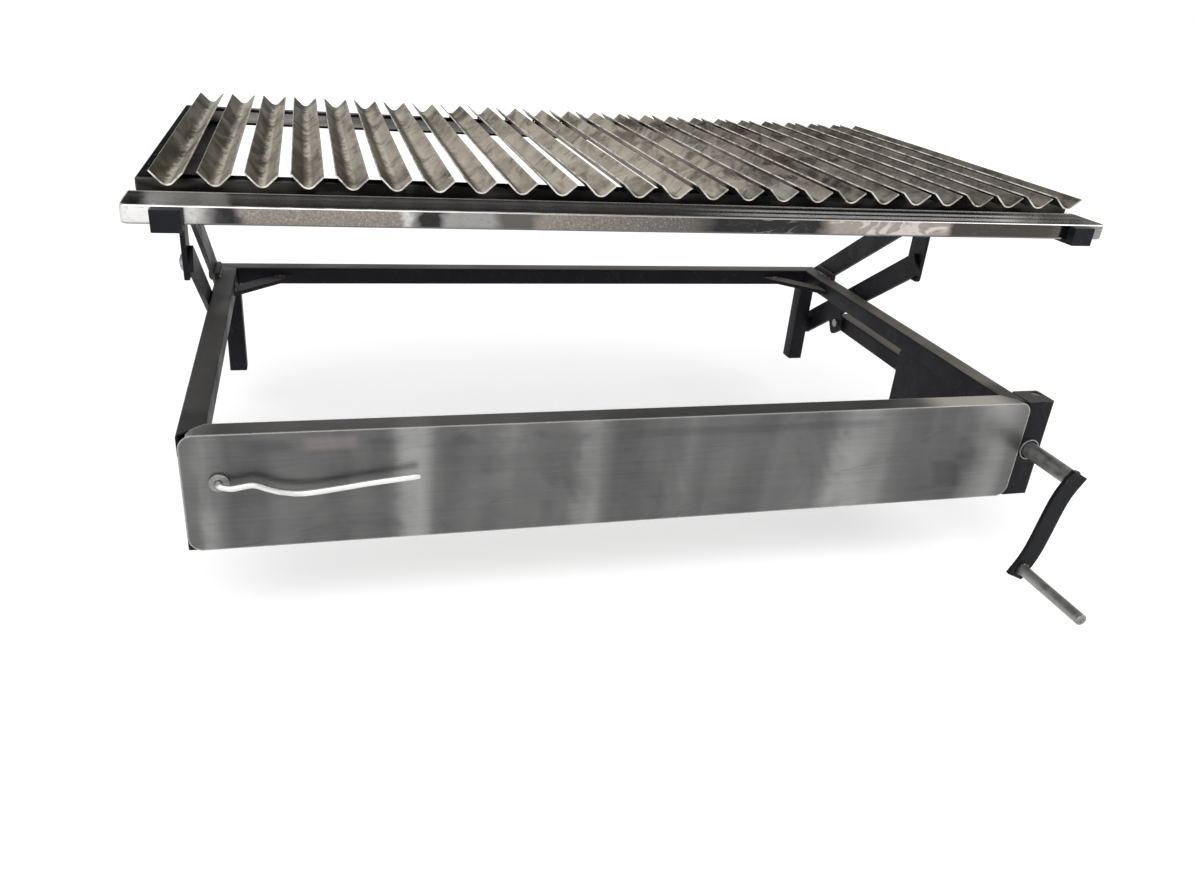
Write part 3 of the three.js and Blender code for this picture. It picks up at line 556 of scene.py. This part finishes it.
def makePaintedReflectionSteel():
    # the front carries a painted reflection of a room in sharp patches along X, and the back wall has long
    # painted reflection streaks by its height
    material, tree, surface, place = startMaterial("troughPaintedReflection")
    low, high = np.array(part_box("grease_trough"))
    bending = useGroup(polishClouds, Vector=stretched(place, (0.5, 1.0, 1.0)), Size=0.028, Detail=2.0,
                       Warp=1.4)
    lines = useGroup(brushLines, Vector=place, Stretch=(0.9, 240.0, 240.0))
    mottle = noise(stretched(place, (260.0, 60.0, 300.0)), 1.6, 4.0, 0.7)
    axes = axesOf(place)
    along = shifted(axes["X"], bending["Mask"], 0.006)
    share = spread(along, low[0], high[0], curve="LINEAR")
    zones = {name: box(share, *zone) for name, zone in troughZones.items()}
    brown = maths("ADD", zones["leftMottle"], zones["midMottle"])
    pale = times(zones["pale"], spread(bending["Mask"], 0.36, 0.62, 0.25, 1.0))
    swirl = times(zones["swirl"], hump(bending["Mask"], 0.5, 0.12), 0.5)
    # painted shade on the lower fold of the front, and a painted highlight along its foot
    foldShade = times(spread(axes["Z"], low[2] + 0.0012, low[2] + 0.0032, 1.0, 0.0), 0.85)
    footHighlight = times(hump(axes["Z"], low[2], 0.0009), 0.6)
    front = layered(ramp(share, [(at, paintedReflectionTones[tone]) for at, tone in paintedReflectionStops]),
                    (times(brown, spread(mottle, 0.36, 0.5, 0.42, 0.0)), paintedReflectionTones["umber"]),
                    (times(brown, spread(mottle, 0.52, 0.7, 0.0, 0.45)), paintedReflectionTones["rose"]),
                    (pale, paintedReflectionTones["rose"]), (swirl, paintedReflectionTones["grey"]),
                    (spread(bending["Fine"], 0.5, 0.66, 0.0, 0.25), paintedReflectionTones["dusk"]),
                    (foldShade, paintedReflectionTones["shadeBlue"]), (footHighlight, paintedReflectionTones["light"]))
    # painted reflection and light: the inside is whiter near both ends, and rim bright in front of the back
    # wall as a painted highlight
    level = spread(axes["Z"], high[2] - 0.0128, high[2], curve="LINEAR")
    level = shifted(level, lines["Lines"], 0.07)
    inside = mixed(spread(share, 0.5, 0.64), ramp(level, insideLeft), ramp(level, insideRight))
    nearEnds = maths("MAXIMUM", box(share, 0.006, 0.088, 0.01), spread(share, 0.87, 0.96))
    inside = mixed(times(nearEnds, 0.7), inside, paintedReflectionTones["light"])
    inside = mixed(spread(axes["Y"], high[1] - 0.0045, high[1] - 0.003), paintedReflectionTones["rim"], inside)
    isInside = mark(tree, "inside")
    # painted shade on the ends' inner faces, and a painted highlight on the top edges
    inward = spread(times(facing(tree, "X"), axes["X"]), -0.4, -0.3, 0.9, 0.0)  # the ends' inner faces
    colour = layered(front, (isInside, inside), (inward, paintedReflectionTones["dark"]),
                     (times(mark(tree, "edge"), 0.9), paintedReflectionTones["rim"]))
    finishMaterial(tree, surface, colour, 0.16, spread(isInside, 0.0, 1.0, 1.0, 0.85),
                   bending["Fine"], 0.05, 0.0004)
    return material


blackSteel = {"deep": (0.0035, 0.0038, 0.006), "worn": (0.0085, 0.009, 0.0125), "top": (0.165, 0.15, 0.128),
              "edge": (0.17, 0.165, 0.155), "specular": 0.16}


def makeBlackSteel():
    # clouded black with lighter edges, partly wear and partly painted highlight; upward faces are lighter and
    # browner, more so on the right and behind the front ends
    material, tree, surface, place = startMaterial("blackenedSteel")
    clouds = useGroup(polishClouds, Vector=place, Size=0.07, Detail=4.0, Warp=0.6)
    scratches = useGroup(strayScratches, Vector=place, Stretch=(90.0, 90.0, 14.0), Turn=(0.3, 0.5, 0.2),
                         Width=0.03)
    edge = useGroup(edgeWearAndHighlight, Vector=place, Radius=0.0011, Break=0.8)
    axes = axesOf(place)
    tone = weighted((clouds["Mask"], 0.6), (clouds["Fine"], 0.4))
    colour = ramp(tone, [(0.2, blackSteel["deep"]), (0.85, blackSteel["worn"])])
    side = times(spread(axes["X"], -0.45, 0.5, 0.22, 1.0), spread(axes["Y"], 0.045, 0.075, 0.35, 1.0))
    lighterOnTop = times(spread(facing(tree, "Z"), 0.75, 0.98), spread(tone, 0.15, 0.8, 0.6, 1.0), side)
    # upward faces lighter and browner; lighter edges, partly wear and partly painted highlight
    colour = layered(colour, (lighterOnTop, blackSteel["top"]), (times(edge["Mask"], 0.7), blackSteel["edge"]),
                     (times(scratches["Mask"], 0.14), blackSteel["edge"]))
    surface["Specular IOR Level"].default_value = blackSteel["specular"]
    finishMaterial(tree, surface, colour, spread(tone, 0.2, 0.85, 0.46, 0.62), 0.0,
                   clouds["Fine"], 0.14, 0.0005)
    return material


shaftSteel = {"deep": (0.11, 0.11, 0.108), "mid": (0.29, 0.29, 0.285), "pale": (0.4, 0.398, 0.39),
              "edge": (0.42, 0.41, 0.4)}


def makeShaftSteel():
    # grey turned steel: fine lines round it over small clouds
    material, tree, surface, place = startMaterial("darkTurnedSteel")
    clouds = useGroup(polishClouds, Vector=place, Size=0.018, Detail=5.0, Warp=0.6)
    lines = useGroup(brushLines, Vector=place, Stretch=(700.0, 90.0, 700.0))
    edge = useGroup(edgeWearAndHighlight, Vector=place, Radius=0.0009, Break=0.4)
    tone = weighted((clouds["Mask"], 0.3), (lines["Lines"], 0.5), (clouds["Fine"], 0.16))
    colour = ramp(tone, [(0.12, shaftSteel["deep"]), (0.5, shaftSteel["mid"]), (0.9, shaftSteel["pale"])])
    # lighter edges, partly wear and partly painted highlight
    colour = mixed(times(edge["Mask"], 0.8), colour, shaftSteel["edge"])
    finishMaterial(tree, surface, colour, spread(tone, 0.2, 0.8, 0.34, 0.5), 0.85,
                   maths("ADD", lines["Lines"], clouds["Fine"]), 0.1, 0.0004)
    return material


weldTones = [(0.1, (0.03, 0.028, 0.027)), (0.55, (0.09, 0.085, 0.08)), (0.95, (0.24, 0.23, 0.22))]


def makeWeldMetal():
    # small blotches from dark to grey
    material, tree, surface, place = startMaterial("weldMetal")
    clouds = useGroup(polishClouds, Vector=place, Size=0.006, Detail=4.0, Warp=0.6)
    finishMaterial(tree, surface, ramp(clouds["Mask"], weldTones),
                   spread(clouds["Fine"], 0.2, 0.8, 0.32, 0.6), 0.8, clouds["Fine"], 0.4, 0.0005)
    return material


stainlessBar = makeBarSteel()
brushedPanel = makePanelSteel()
troughPaintedReflection = makePaintedReflectionSteel()
shadedRingTube, litRearRingTube, zincHead, brightRod = (makeBrightSteel(name) for name in brightSteels)
blackenedSteel = makeBlackSteel()
darkTurnedSteel = makeShaftSteel()
weldMetal = makeWeldMetal()
print("materials made")

# Grate bars

bars = {"count": 25, "sheet": 0.0015, "bend": 0.0068, "slope": 45.25, "skew": 0.008, "foldSteps": 13,
        "spanSteps": 22, "runs": [1.0, 0.985, 0.9, 0.7, 0.4], "endSteps": [0.0, 0.0012, 0.004],
        "warp": 0.00025, "warpTurns": (9, 14), "warpShift": 1.7}


def barSection(wide):
    # underside and upper side from the left rim through the fold, r sin a and R - r cos a, to the right rim
    slope, outer = math.radians(bars["slope"]), bars["bend"] + bars["sheet"]
    straight = (wide / 2 - outer * math.sin(slope)) / math.cos(slope)
    runs = straight * np.array(bars["runs"])
    arcs = np.linspace(-slope, slope, bars["foldSteps"])

    def side(radius):  # one side of the sheet, with this radius at the fold
        x, z = radius * np.sin(arcs), outer - radius * np.cos(arcs)
        rise = np.column_stack([runs * math.cos(slope), runs * math.sin(slope)])
        left = np.array([x[0], z[0]]) + rise * [-1, 1]
        right = np.array([x[-1], z[-1]]) + rise[::-1]
        return np.vstack([left, np.column_stack([x, z]), right])

    rim = np.zeros(len(runs) * 2 + len(arcs))
    rim[[0, -1]] = 1.0
    return np.vstack([side(outer), side(bars["bend"])[::-1]]), np.concatenate([rim, rim[::-1]])


def makeBar(number):
    # stations along Y carry the section, skewed at the front; the sheet waves by warp sin(n y + phase)
    node = f"v_bar_{number:02d}"
    low, high = np.array(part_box(node))
    wide = high[0] - low[0]
    section, rim = barSection(wide)
    endSteps = np.array(bars["endSteps"])
    share = np.concatenate([endSteps, np.linspace(0.02, 0.98, bars["spanSteps"]), 1 - endSteps[::-1]])
    frontY = low[1] + bars["skew"] * (0.5 - section[:, 0] / wide)
    y = frontY + share[:, None] * (high[1] - frontY)
    phase = number * bars["warpShift"]
    swell = bars["warp"] * np.sin(np.pi * share)[:, None]
    waveX = swell * np.sin(bars["warpTurns"][0] * y + phase)
    waveZ = swell * np.sin(bars["warpTurns"][1] * y + 2 * phase)
    x = (low[0] + high[0]) / 2 + section[:, 0] + waveX
    z = low[2] + section[:, 1] + np.abs(waveZ)
    points, faces = loft(np.stack([x, y, z], axis=-1))
    atEnd = np.isin(share, [0.0, 1.0])[:, None]
    across = np.repeat(section[None, :, 0] / wide + 0.5, len(share), 0)
    marks = {"edge": np.where(atEnd, 1.0, rim), "across": across}
    newPiece(node + "_fine", points, faces, "carriage", stainlessBar, [node], 40, marks)


for number in range(1, bars["count"] + 1):
    makeBar(number)
print("bars made")

# Sheet metal, tubes and plates: the CAD forms with soft edges of a width and a number of steps

softForms = [
    (brushedPanel, 0.0011, 3, ["front_panel"]),
    (shadedRingTube, 0.0008, 2, ["left_grid_tube", "right_grid_tube", "front_grid_tube"]),
    (litRearRingTube, 0.0012, 3, ["rear_grid_tube"]),
    (blackenedSteel, 0.0006, 2, [
        "left_side_tube", "right_side_tube", "rear_tube", "left_rear_leg", "right_rear_leg",
        "left_corner_brace", "right_corner_brace", "left_front_post", "right_front_post", "guard_plate",
        "left_upper_link", "right_upper_link", "left_lower_link", "right_lower_link", "left_arm",
        "right_arm", "left_hanger", "right_hanger", "drive_tube", "crank_arm"]),
    (darkTurnedSteel, 0.0004, 2, ["post_plug", "crank_ring", "lug_bolt", "spindle_nut", "shaft_carrier"]),
    (darkTurnedSteel, 0.0008, 3, ["lever_escutcheon"]),
]
for material, width, steps, nodes in softForms:
    for node in nodes:
        softenedCopy(node, material, width, steps)
print("plates and tubes made")

# Trough: a folded channel with a hem on its front rim, and a plate at each end

trough = {"sheet": 0.0015, "bend": 0.004, "hem": 0.003, "hemHigh": 0.004, "steps": 8, "corner": 0.0012,
          "turnIn": 0.0075, "rimDrop": 0.0003, "rimFoot": 0.0014, "plateDrop": 0.0004, "wave": 0.00018,
          "waveTurns": 23, "spans": 60, "spanInset": 0.02,
          "endSteps": [0.0015, 0.0022, 0.0032, 0.0045, 0.006, 0.0075],
          "plateSteps": [0.00005, 0.0002, 0.0005, 0.001, 0.0015]}


def foldArc(y, z, radius, start, end):
    # points of a circle about (y, z): y + r cos a, z + r sin a
    turn = np.radians(np.linspace(start, end, trough["steps"] + 1))
    return np.column_stack([y + radius * np.cos(turn), z + radius * np.sin(turn)])


def makeTrough():
    # stations along X carry the folded section; at each end the front draws back by r - sqrt(r^2 - (r - d)^2)
    low, high = np.array(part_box("grease_trough"))
    sheet, bend, hem, soft, turnIn = (trough[key] for key in ("sheet", "bend", "hem", "corner", "turnIn"))
    (front, bottom), (back, top) = low[1:], high[1:]
    hemFoot, rimTop, rimFoot = top - trough["hemHigh"], top - trough["rimDrop"], top - trough["rimFoot"]
    shell = np.vstack([foldArc(back - bend, bottom + bend, bend, 0, -90),
                       foldArc(front + bend, bottom + bend, bend, -90, -180),
                       foldArc(front + soft, top - soft, soft, 180, 90)])
    outside = np.vstack([[(back, rimTop), (back, rimFoot)], shell])
    inside = np.vstack([foldArc(front + hem - soft, top - soft, soft, 90, 0),
                        [(front + hem, hemFoot), (front + sheet, hemFoot)],
                        foldArc(front + bend, bottom + bend, bend - sheet, 180, 270),
                        foldArc(back - bend, bottom + bend, bend - sheet, 270, 360),
                        [(back - sheet, rimFoot), (back - sheet, rimTop), (back - sheet / 2, top)]])
    plate = np.vstack([[(back - trough["plateDrop"], top), (back, top - trough["plateDrop"])], shell])

    def carried(name, x, away, section, replaced, **marks):
        # away is the distance of each station from the trough's end; only the front half of the section moves
        reach = np.clip(turnIn - away, 0, turnIn)
        inset = turnIn - np.sqrt(turnIn**2 - reach**2)
        weight = np.clip(2 * (back - section[:, 0]) / (back - front), 0, 1)
        wave = trough["wave"] * np.sin(x * trough["waveTurns"]) * np.sin(np.pi * (x - x[0]) / (x[-1] - x[0]))
        y = section[:, 0] + inset[:, None] * weight + (wave[:, None] if replaced else 0)
        points, faces = loft(np.stack([np.repeat(x[:, None], len(section), 1), y,
                                       np.repeat(section[None, :, 1], len(x), 0)], axis=-1))
        marks["edge"] = np.where(section[:, 1] > top - 0.9 * soft, 1.0, 0.0)
        marks = {label: np.repeat(values[None], len(x), 0) for label, values in marks.items()}
        newPiece(name, points, faces, "carriage", troughPaintedReflection, replaced, 50, marks)

    ends, plateSteps = np.array(trough["endSteps"]), np.array(trough["plateSteps"])
    spans = np.linspace(low[0] + trough["spanInset"], high[0] - trough["spanInset"], trough["spans"])
    x = np.concatenate([low[0] + ends, spans, high[0] - ends[::-1]])
    carried("trough_channel", x, np.minimum(x - low[0], high[0] - x), np.vstack([outside, inside]),
            ["grease_trough"], inside=np.repeat([0.0, 1.0], [len(outside), len(inside)]))
    carried("trough_left_end", low[0] + plateSteps, plateSteps, plate, [])
    carried("trough_right_end", high[0] - plateSteps, plateSteps, plate, [])


makeTrough()
print("trough made")

# Crank: shaft with its spindle, and grip

shaft = {"x": 0.52, "z": 0.06706, "radius": 0.0105, "spindle": 0.006, "pitch": 0.005, "thread": 0.0006,
         "chamfer": 0.0008, "gap": 0.0003, "collar": 0.009, "collarThick": 0.002, "run": 0.03,
         "threadStart": 0.0015, "around": 28, "perPitch": 8, "lead": 0.002, "leadShrink": 0.75}
grip = {"mouth": 0.0018, "bore": 0.0028, "chamfer": [(0.001, 0.0033), (0.0, 0.0036)],
        "rim": [(0.0, 0.0016), (0.0005, 0.0007), (0.0016, 0.0)]}


def makeShaft():
    # the profile (place, radius) is turned about Y: shaft, spindle and the collar behind the carrier
    low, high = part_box("crank_shaft")
    carrierLow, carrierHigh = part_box("shaft_carrier")
    pinY = (carrierLow[1] + carrierHigh[1]) / 2
    shoulder, collar = carrierLow[1] - shaft["gap"], carrierHigh[1] + shaft["gap"]
    soft, radius, spindle, wide = (shaft[key] for key in ("chamfer", "radius", "spindle", "collar"))
    collarEnd = collar + shaft["collarThick"]
    origin = np.array([shaft["x"], 0, shaft["z"]])
    profile = [(low[1], meshing["tiny"]), (low[1], radius - soft), (low[1] + soft, radius),
               (pinY - shaft["run"], radius), (shoulder - soft, radius), (shoulder, radius - soft),
               (shoulder, spindle), (collar, spindle), (collar, wide - soft / 2), (collar + soft / 2, wide),
               (collarEnd - soft / 2, wide), (collarEnd, wide - soft / 2),
               (collarEnd, spindle - shaft["thread"])]
    points, faces = turned(profile, origin, [0, 1, 0])
    newPiece("crank_shaft_fine", points, faces, "crank", darkTurnedSteel, ["crank_shaft"])
    # thread: the radius is a sawn wave of the place along the shaft less the turn round it
    start, end = collar + shaft["threadStart"], high[1]
    y = np.linspace(start, end, int((end - start) / shaft["pitch"] * shaft["perPitch"]))
    turn = np.linspace(0, 2 * np.pi, shaft["around"], endpoint=False)
    phase = (y[:, None] / shaft["pitch"] - turn / (2 * np.pi)) % 1
    crest = np.clip(1.5 - np.abs(phase - 0.5) * 5, 0, 1)
    r = spindle - shaft["thread"] * 2 * (1 - crest)
    r *= np.clip((end - y) / shaft["lead"], shaft["leadShrink"], 1)[:, None]
    points, faces = loft(np.stack([origin[0] + r * np.cos(turn), np.repeat(y[:, None], len(turn), 1),
                                   origin[2] + r * np.sin(turn)], axis=-1))
    newPiece("spindle_thread", points, faces, "crank", darkTurnedSteel, sharpAngle=50)


def makeGrip():
    # turned about Y: a shallow mouth with a chamfer, a rounded rim and a straight rod
    low, high = np.array(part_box("crank_grip"))
    radius, front, back = (high[0] - low[0]) / 2, low[1], high[1]
    profile = [(front + grip["mouth"], meshing["tiny"]), (front + grip["mouth"], grip["bore"])]
    profile += [(front + step, r) for step, r in grip["chamfer"]]
    profile += [(front + step, radius - less) for step, less in grip["rim"]]
    profile += [(back, radius), (back, meshing["tiny"])]
    points, faces = turned(profile, (low + high) / 2 * [1, 0, 1], [0, 1, 0])
    newPiece("crank_grip_fine", points, faces, "crank", darkTurnedSteel, ["crank_grip"])


makeShaft()
makeGrip()
print("crank made")

# Lever on the panel; the route is shares of its length and heights in waves

lever = {"x": -0.4633, "z": 0.0803, "radius": 0.0035, "long": 0.2005, "wave": 0.012, "stand": -0.015,
         "bend": 0.007, "tail": 0.008, "steps": 150, "around": 24, "endShrink": 0.8, "stop": (0.0003, 0.0033),
         "stopHole": 0.0036, "stopRadius": 0.007, "stopSoft": 0.0005,
         "route": [(0.06, -0.1), (0.106, 0), (0.171, 0.12), (0.235, -0.3), (0.306, -0.69), (0.415, -0.91),
                   (0.6, -0.58), (0.745, -0.26), (1, 0.18)]}


def makeLever():
    # a round rod carried along the smooth route, and a turned disc behind the panel that stops it
    x, z, bend, stand = lever["x"], lever["z"], lever["bend"], lever["stand"]
    points = [(x, lever["tail"], z), (x, stand + 2 * bend, z), (x, stand + bend, z),
              (x + bend / 3, stand + bend / 3, z)]
    points += [(x + a * lever["long"], stand, z + b * lever["wave"]) for a, b in lever["route"]]
    path = smoothPath(points, lever["steps"])
    shape = np.repeat(circle(lever["radius"], lever["around"])[None], len(path), 0)
    shape[[0, -1]] *= lever["endShrink"]  # a small chamfer at each end
    surface, faces = alongPath(path, shape)
    newPiece("front_lever_fine", surface, faces, "lever", brightRod, ["front_lever"])
    (low, high), hole, wide, soft = (lever[key] for key in ("stop", "stopHole", "stopRadius", "stopSoft"))
    profile = [(low, hole), (low, wide - soft), (low + soft, wide), (high - soft, wide), (high, wide - soft),
               (high, hole)]
    stop, stopFaces = turned(profile, np.array([x, 0, z]), [0, 1, 0])
    newPiece("lever_stop", stop, stopFaces, "lever", darkTurnedSteel)


makeLever()
print("lever made")

# Zinc domed head on the left hanger's lower pin

boltHead = {"y": 0.31801, "z": 0.21607, "radius": 0.0108, "high": 0.0055, "foot": 0.0012, "stand": 0.005,
            "steps": 9, "lastTurn": 86}


def makeBoltHead():
    # a flat dome: radius r cos a, height h sin a, with a short straight foot
    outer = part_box("left_hanger")[0][0]
    foot, radius = boltHead["foot"], boltHead["radius"]
    turn = np.radians(np.linspace(0, boltHead["lastTurn"], boltHead["steps"]))
    dome = np.column_stack([foot + (boltHead["high"] - foot) * np.sin(turn), radius * np.cos(turn)])
    profile = np.vstack([[(0.0, meshing["tiny"])], [(0.0, radius)], dome])
    origin = np.array([outer + boltHead["stand"], boltHead["y"], boltHead["z"]])
    points, faces = turned(profile, origin, [-1, 0, 0])
    newPiece("left_hanger_head", points, faces, "carriage", zincHead)


makeBoltHead()
print("bolt head made")

# Weld beads

weld = {"ripple": 0.0021, "lift": 0.18, "around": 12, "ringTurn": (0.2, 5.6, 40), "fewest": 12,
        "perRipple": 5, "swell": 0.08, "swellTurns": 41,
        "slot": {"base": "black_steel", "carriage": "grate_steel", "crank": "shaft_steel"}}
# straight beads on the right, which the left mirrors: start, end, body, radius
sideWelds = {
    "brace_weld_side": [(0.4725, 0.497, 0.1205), (0.4725, 0.524, 0.1205), "base", 0.002],
    "brace_weld_rear": [(0.3935, 0.5755, 0.1205), (0.4205, 0.5755, 0.1205), "base", 0.002],
    "leg_weld": [(0.474, 0.5755, 0.1083), (0.492, 0.5755, 0.1083), "base", 0.0016],
    "stay_weld": [(0.4938, 0.522, 0.1339), (0.4938, 0.573, 0.1339), "base", 0.0016],
    "arm_weld": [(0.4695, 0.055, 0.3523), (0.4695, 0.069, 0.3523), "carriage", 0.0015],
}
tack = {"y": 0.516, "low": 0.3731, "high": 0.3735, "aside": 0.0042, "half": 0.0016, "radius": 0.0016}
shaftWeld = {"around": 0.0108, "past": 0.0006, "radius": 0.0014}
gripWeld = {"around": 0.0073, "past": -0.0004, "radius": 0.0013}


def bead(name, path, body, radius):
    # a round bead along the path s, of radius r (1 + lift |sin(pi s / ripple)|) and tapered at its ends
    path = np.asarray(path, float)
    length = np.linalg.norm(np.diff(path, axis=0), axis=1).sum()
    share = np.linspace(0, 1, max(weld["fewest"], int(length / weld["ripple"] * weld["perRipple"])))
    steps = np.linspace(0, 1, len(path))
    fine = np.column_stack([np.interp(share, steps, path[:, k]) for k in range(3)])
    drops = 1 + weld["lift"] * np.abs(np.sin(share * length / weld["ripple"] * np.pi))
    drops += weld["swell"] * np.sin(share * weld["swellTurns"] + len(name))  # each bead at its own places
    taper = np.clip(np.minimum(share, 1 - share) * length / radius, 0.05, 1) ** 0.5
    points, faces = alongPath(fine, circle(radius, weld["around"])[None] * (drops * taper)[:, None, None])
    newPiece(name, points, faces, body, weldMetal, sharpAngle=80)


def ringBead(name, centre, look):
    # most of a turn round the crank's Y axis: x + r cos a, z + r sin a
    turn = np.linspace(*weld["ringTurn"])
    x, y, z = centre
    ring = look["around"]
    y = np.full(len(turn), y + look["past"])
    path = np.column_stack([x + ring * np.cos(turn), y, z + ring * np.sin(turn)])
    bead(name, path, "crank", look["radius"])


def makeWelds():
    # beads at the frame's corners, two tacks under the rear of each bar, and a ring at each end of the arm
    for side, name in ((-1, "left"), (1, "right")):
        for label, (start, end, body, radius) in sideWelds.items():
            bead(f"{name}_{label}", np.array([start, end]) * [side, 1, 1], body, radius)
    for number in range(1, bars["count"] + 1):
        low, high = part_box(f"v_bar_{number:02d}")
        middle = (low[0] + high[0]) / 2
        for k, x in enumerate((middle - tack["aside"], middle + tack["aside"])):
            ends = [(x - tack["half"], tack["y"], tack["low"]), (x + tack["half"], tack["y"], tack["high"])]
            bead(f"bar_{number:02d}_rear_tack_{k}", ends, "carriage", tack["radius"])
    ringBead("shaft_weld", (shaft["x"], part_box("crank_arm")[1][1], shaft["z"]), shaftWeld)
    low, high = np.array(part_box("crank_grip"))
    middle = (low + high) / 2
    ringBead("grip_weld", (middle[0], high[1], middle[2]), gripWeld)


makeWelds()
print("welds made")

# Stage: floor, light and camera

stage = {"floorZ": -0.095, "floorSize": 45.0, "floorTone": 0.8, "floorGlow": 0.4, "farGlow": 0.8,
         "near": 1.2, "far": 5.0, "ceiling": 0.36, "horizon": 0.02, "overhead": 0.55}
# place, aim, size and power of each lamp
lamps = {"key": [(-1.5, -2.0, 2.7), (0, 0.25, 0.2), 4.2, 102],
         "fill": [(2.6, -0.9, 1.8), (0, 0.25, 0.2), 2.2, 34],
         "rear": [(-0.6, 3.2, 2.4), (0, 0.3, 0.3), 3.2, 24]}
view = {"place": (-0.358875, -0.925344, 0.574408), "turn": (1.1127625, -0.0826472, -0.2671446), "lens": 29.07,
        "sensor": 36.0, "near": 0.01, "far": 60.0}


def makeFloor():
    # a wide square that glows to the camera and to mirrors, more so far away, and keeps the shadow
    half, z, tone = stage["floorSize"], stage["floorZ"], stage["floorTone"]
    mesh = bpy.data.meshes.new("floor")
    corners = [(-half, -half, z), (half, -half, z), (half, half, z), (-half, half, z)]
    mesh.from_pydata(corners, [], [(0, 1, 2, 3)])
    material, tree, surface, place = startMaterial("paleFloor")
    ray = addNode(tree, "ShaderNodeLightPath").outputs
    seen = maths("MAXIMUM", ray["Is Camera Ray"], ray["Is Glossy Ray"])
    away = addNode(tree, "ShaderNodeVectorMath", {0: place}, operation="LENGTH").outputs["Value"]
    glow = spread(away, stage["near"], stage["far"], stage["floorGlow"], stage["farGlow"])
    fill(tree, surface, {"Base Color": asColour(tone), "Roughness": 0.9, "Specular IOR Level": 0.1,
                         "Emission Color": asColour(1), "Emission Strength": times(seen, glow)})
    mesh.materials.append(material)
    floor = addToScene("floor", mesh)


def makeLamp(name, place, target, size, power):
    # a square lamp at its place, turned to the target
    lamp = bpy.data.lights.new(name, "AREA")
    lamp.shape, lamp.size, lamp.energy = "SQUARE", size, power
    holder = addToScene(name, lamp)
    holder.location = place
    holder.rotation_euler = (Vector(target) - Vector(place)).to_track_quat("-Z", "Y").to_euler()


def makeWorld():
    # the room: white at the horizon and below, a dim ceiling above; straight from the camera it is white
    world = bpy.data.worlds.new("studio")
    bpy.context.scene.world = world
    world.use_nodes = True
    tree = world.node_tree
    tree.nodes.clear()
    height = axesOf(addNode(tree, "ShaderNodeTexCoord").outputs["Generated"])["Z"]
    fromCamera = addNode(tree, "ShaderNodeLightPath").outputs["Is Camera Ray"]
    room = spread(height, stage["horizon"], stage["overhead"], 1.0, stage["ceiling"])
    strength = maths("MAXIMUM", room, fromCamera)
    light = addNode(tree, "ShaderNodeBackground", {"Color": asColour(1), "Strength": strength})
    addNode(tree, "ShaderNodeOutputWorld", {0: light.outputs[0]})


def makeCamera():
    # the photograph's point of view
    camera = bpy.data.cameras.new("camera")
    camera.lens, camera.sensor_width = view["lens"], view["sensor"]
    camera.clip_start, camera.clip_end = view["near"], view["far"]
    holder = addToScene("camera", camera)
    holder.location, holder.rotation_euler = view["place"], view["turn"]
    bpy.context.scene.camera = holder


makeFloor()
makeWorld()
for name, settings in lamps.items():
    makeLamp(name, *settings)
makeCamera()
bpy.context.scene.view_settings.view_transform = "Standard"
print("stage made")
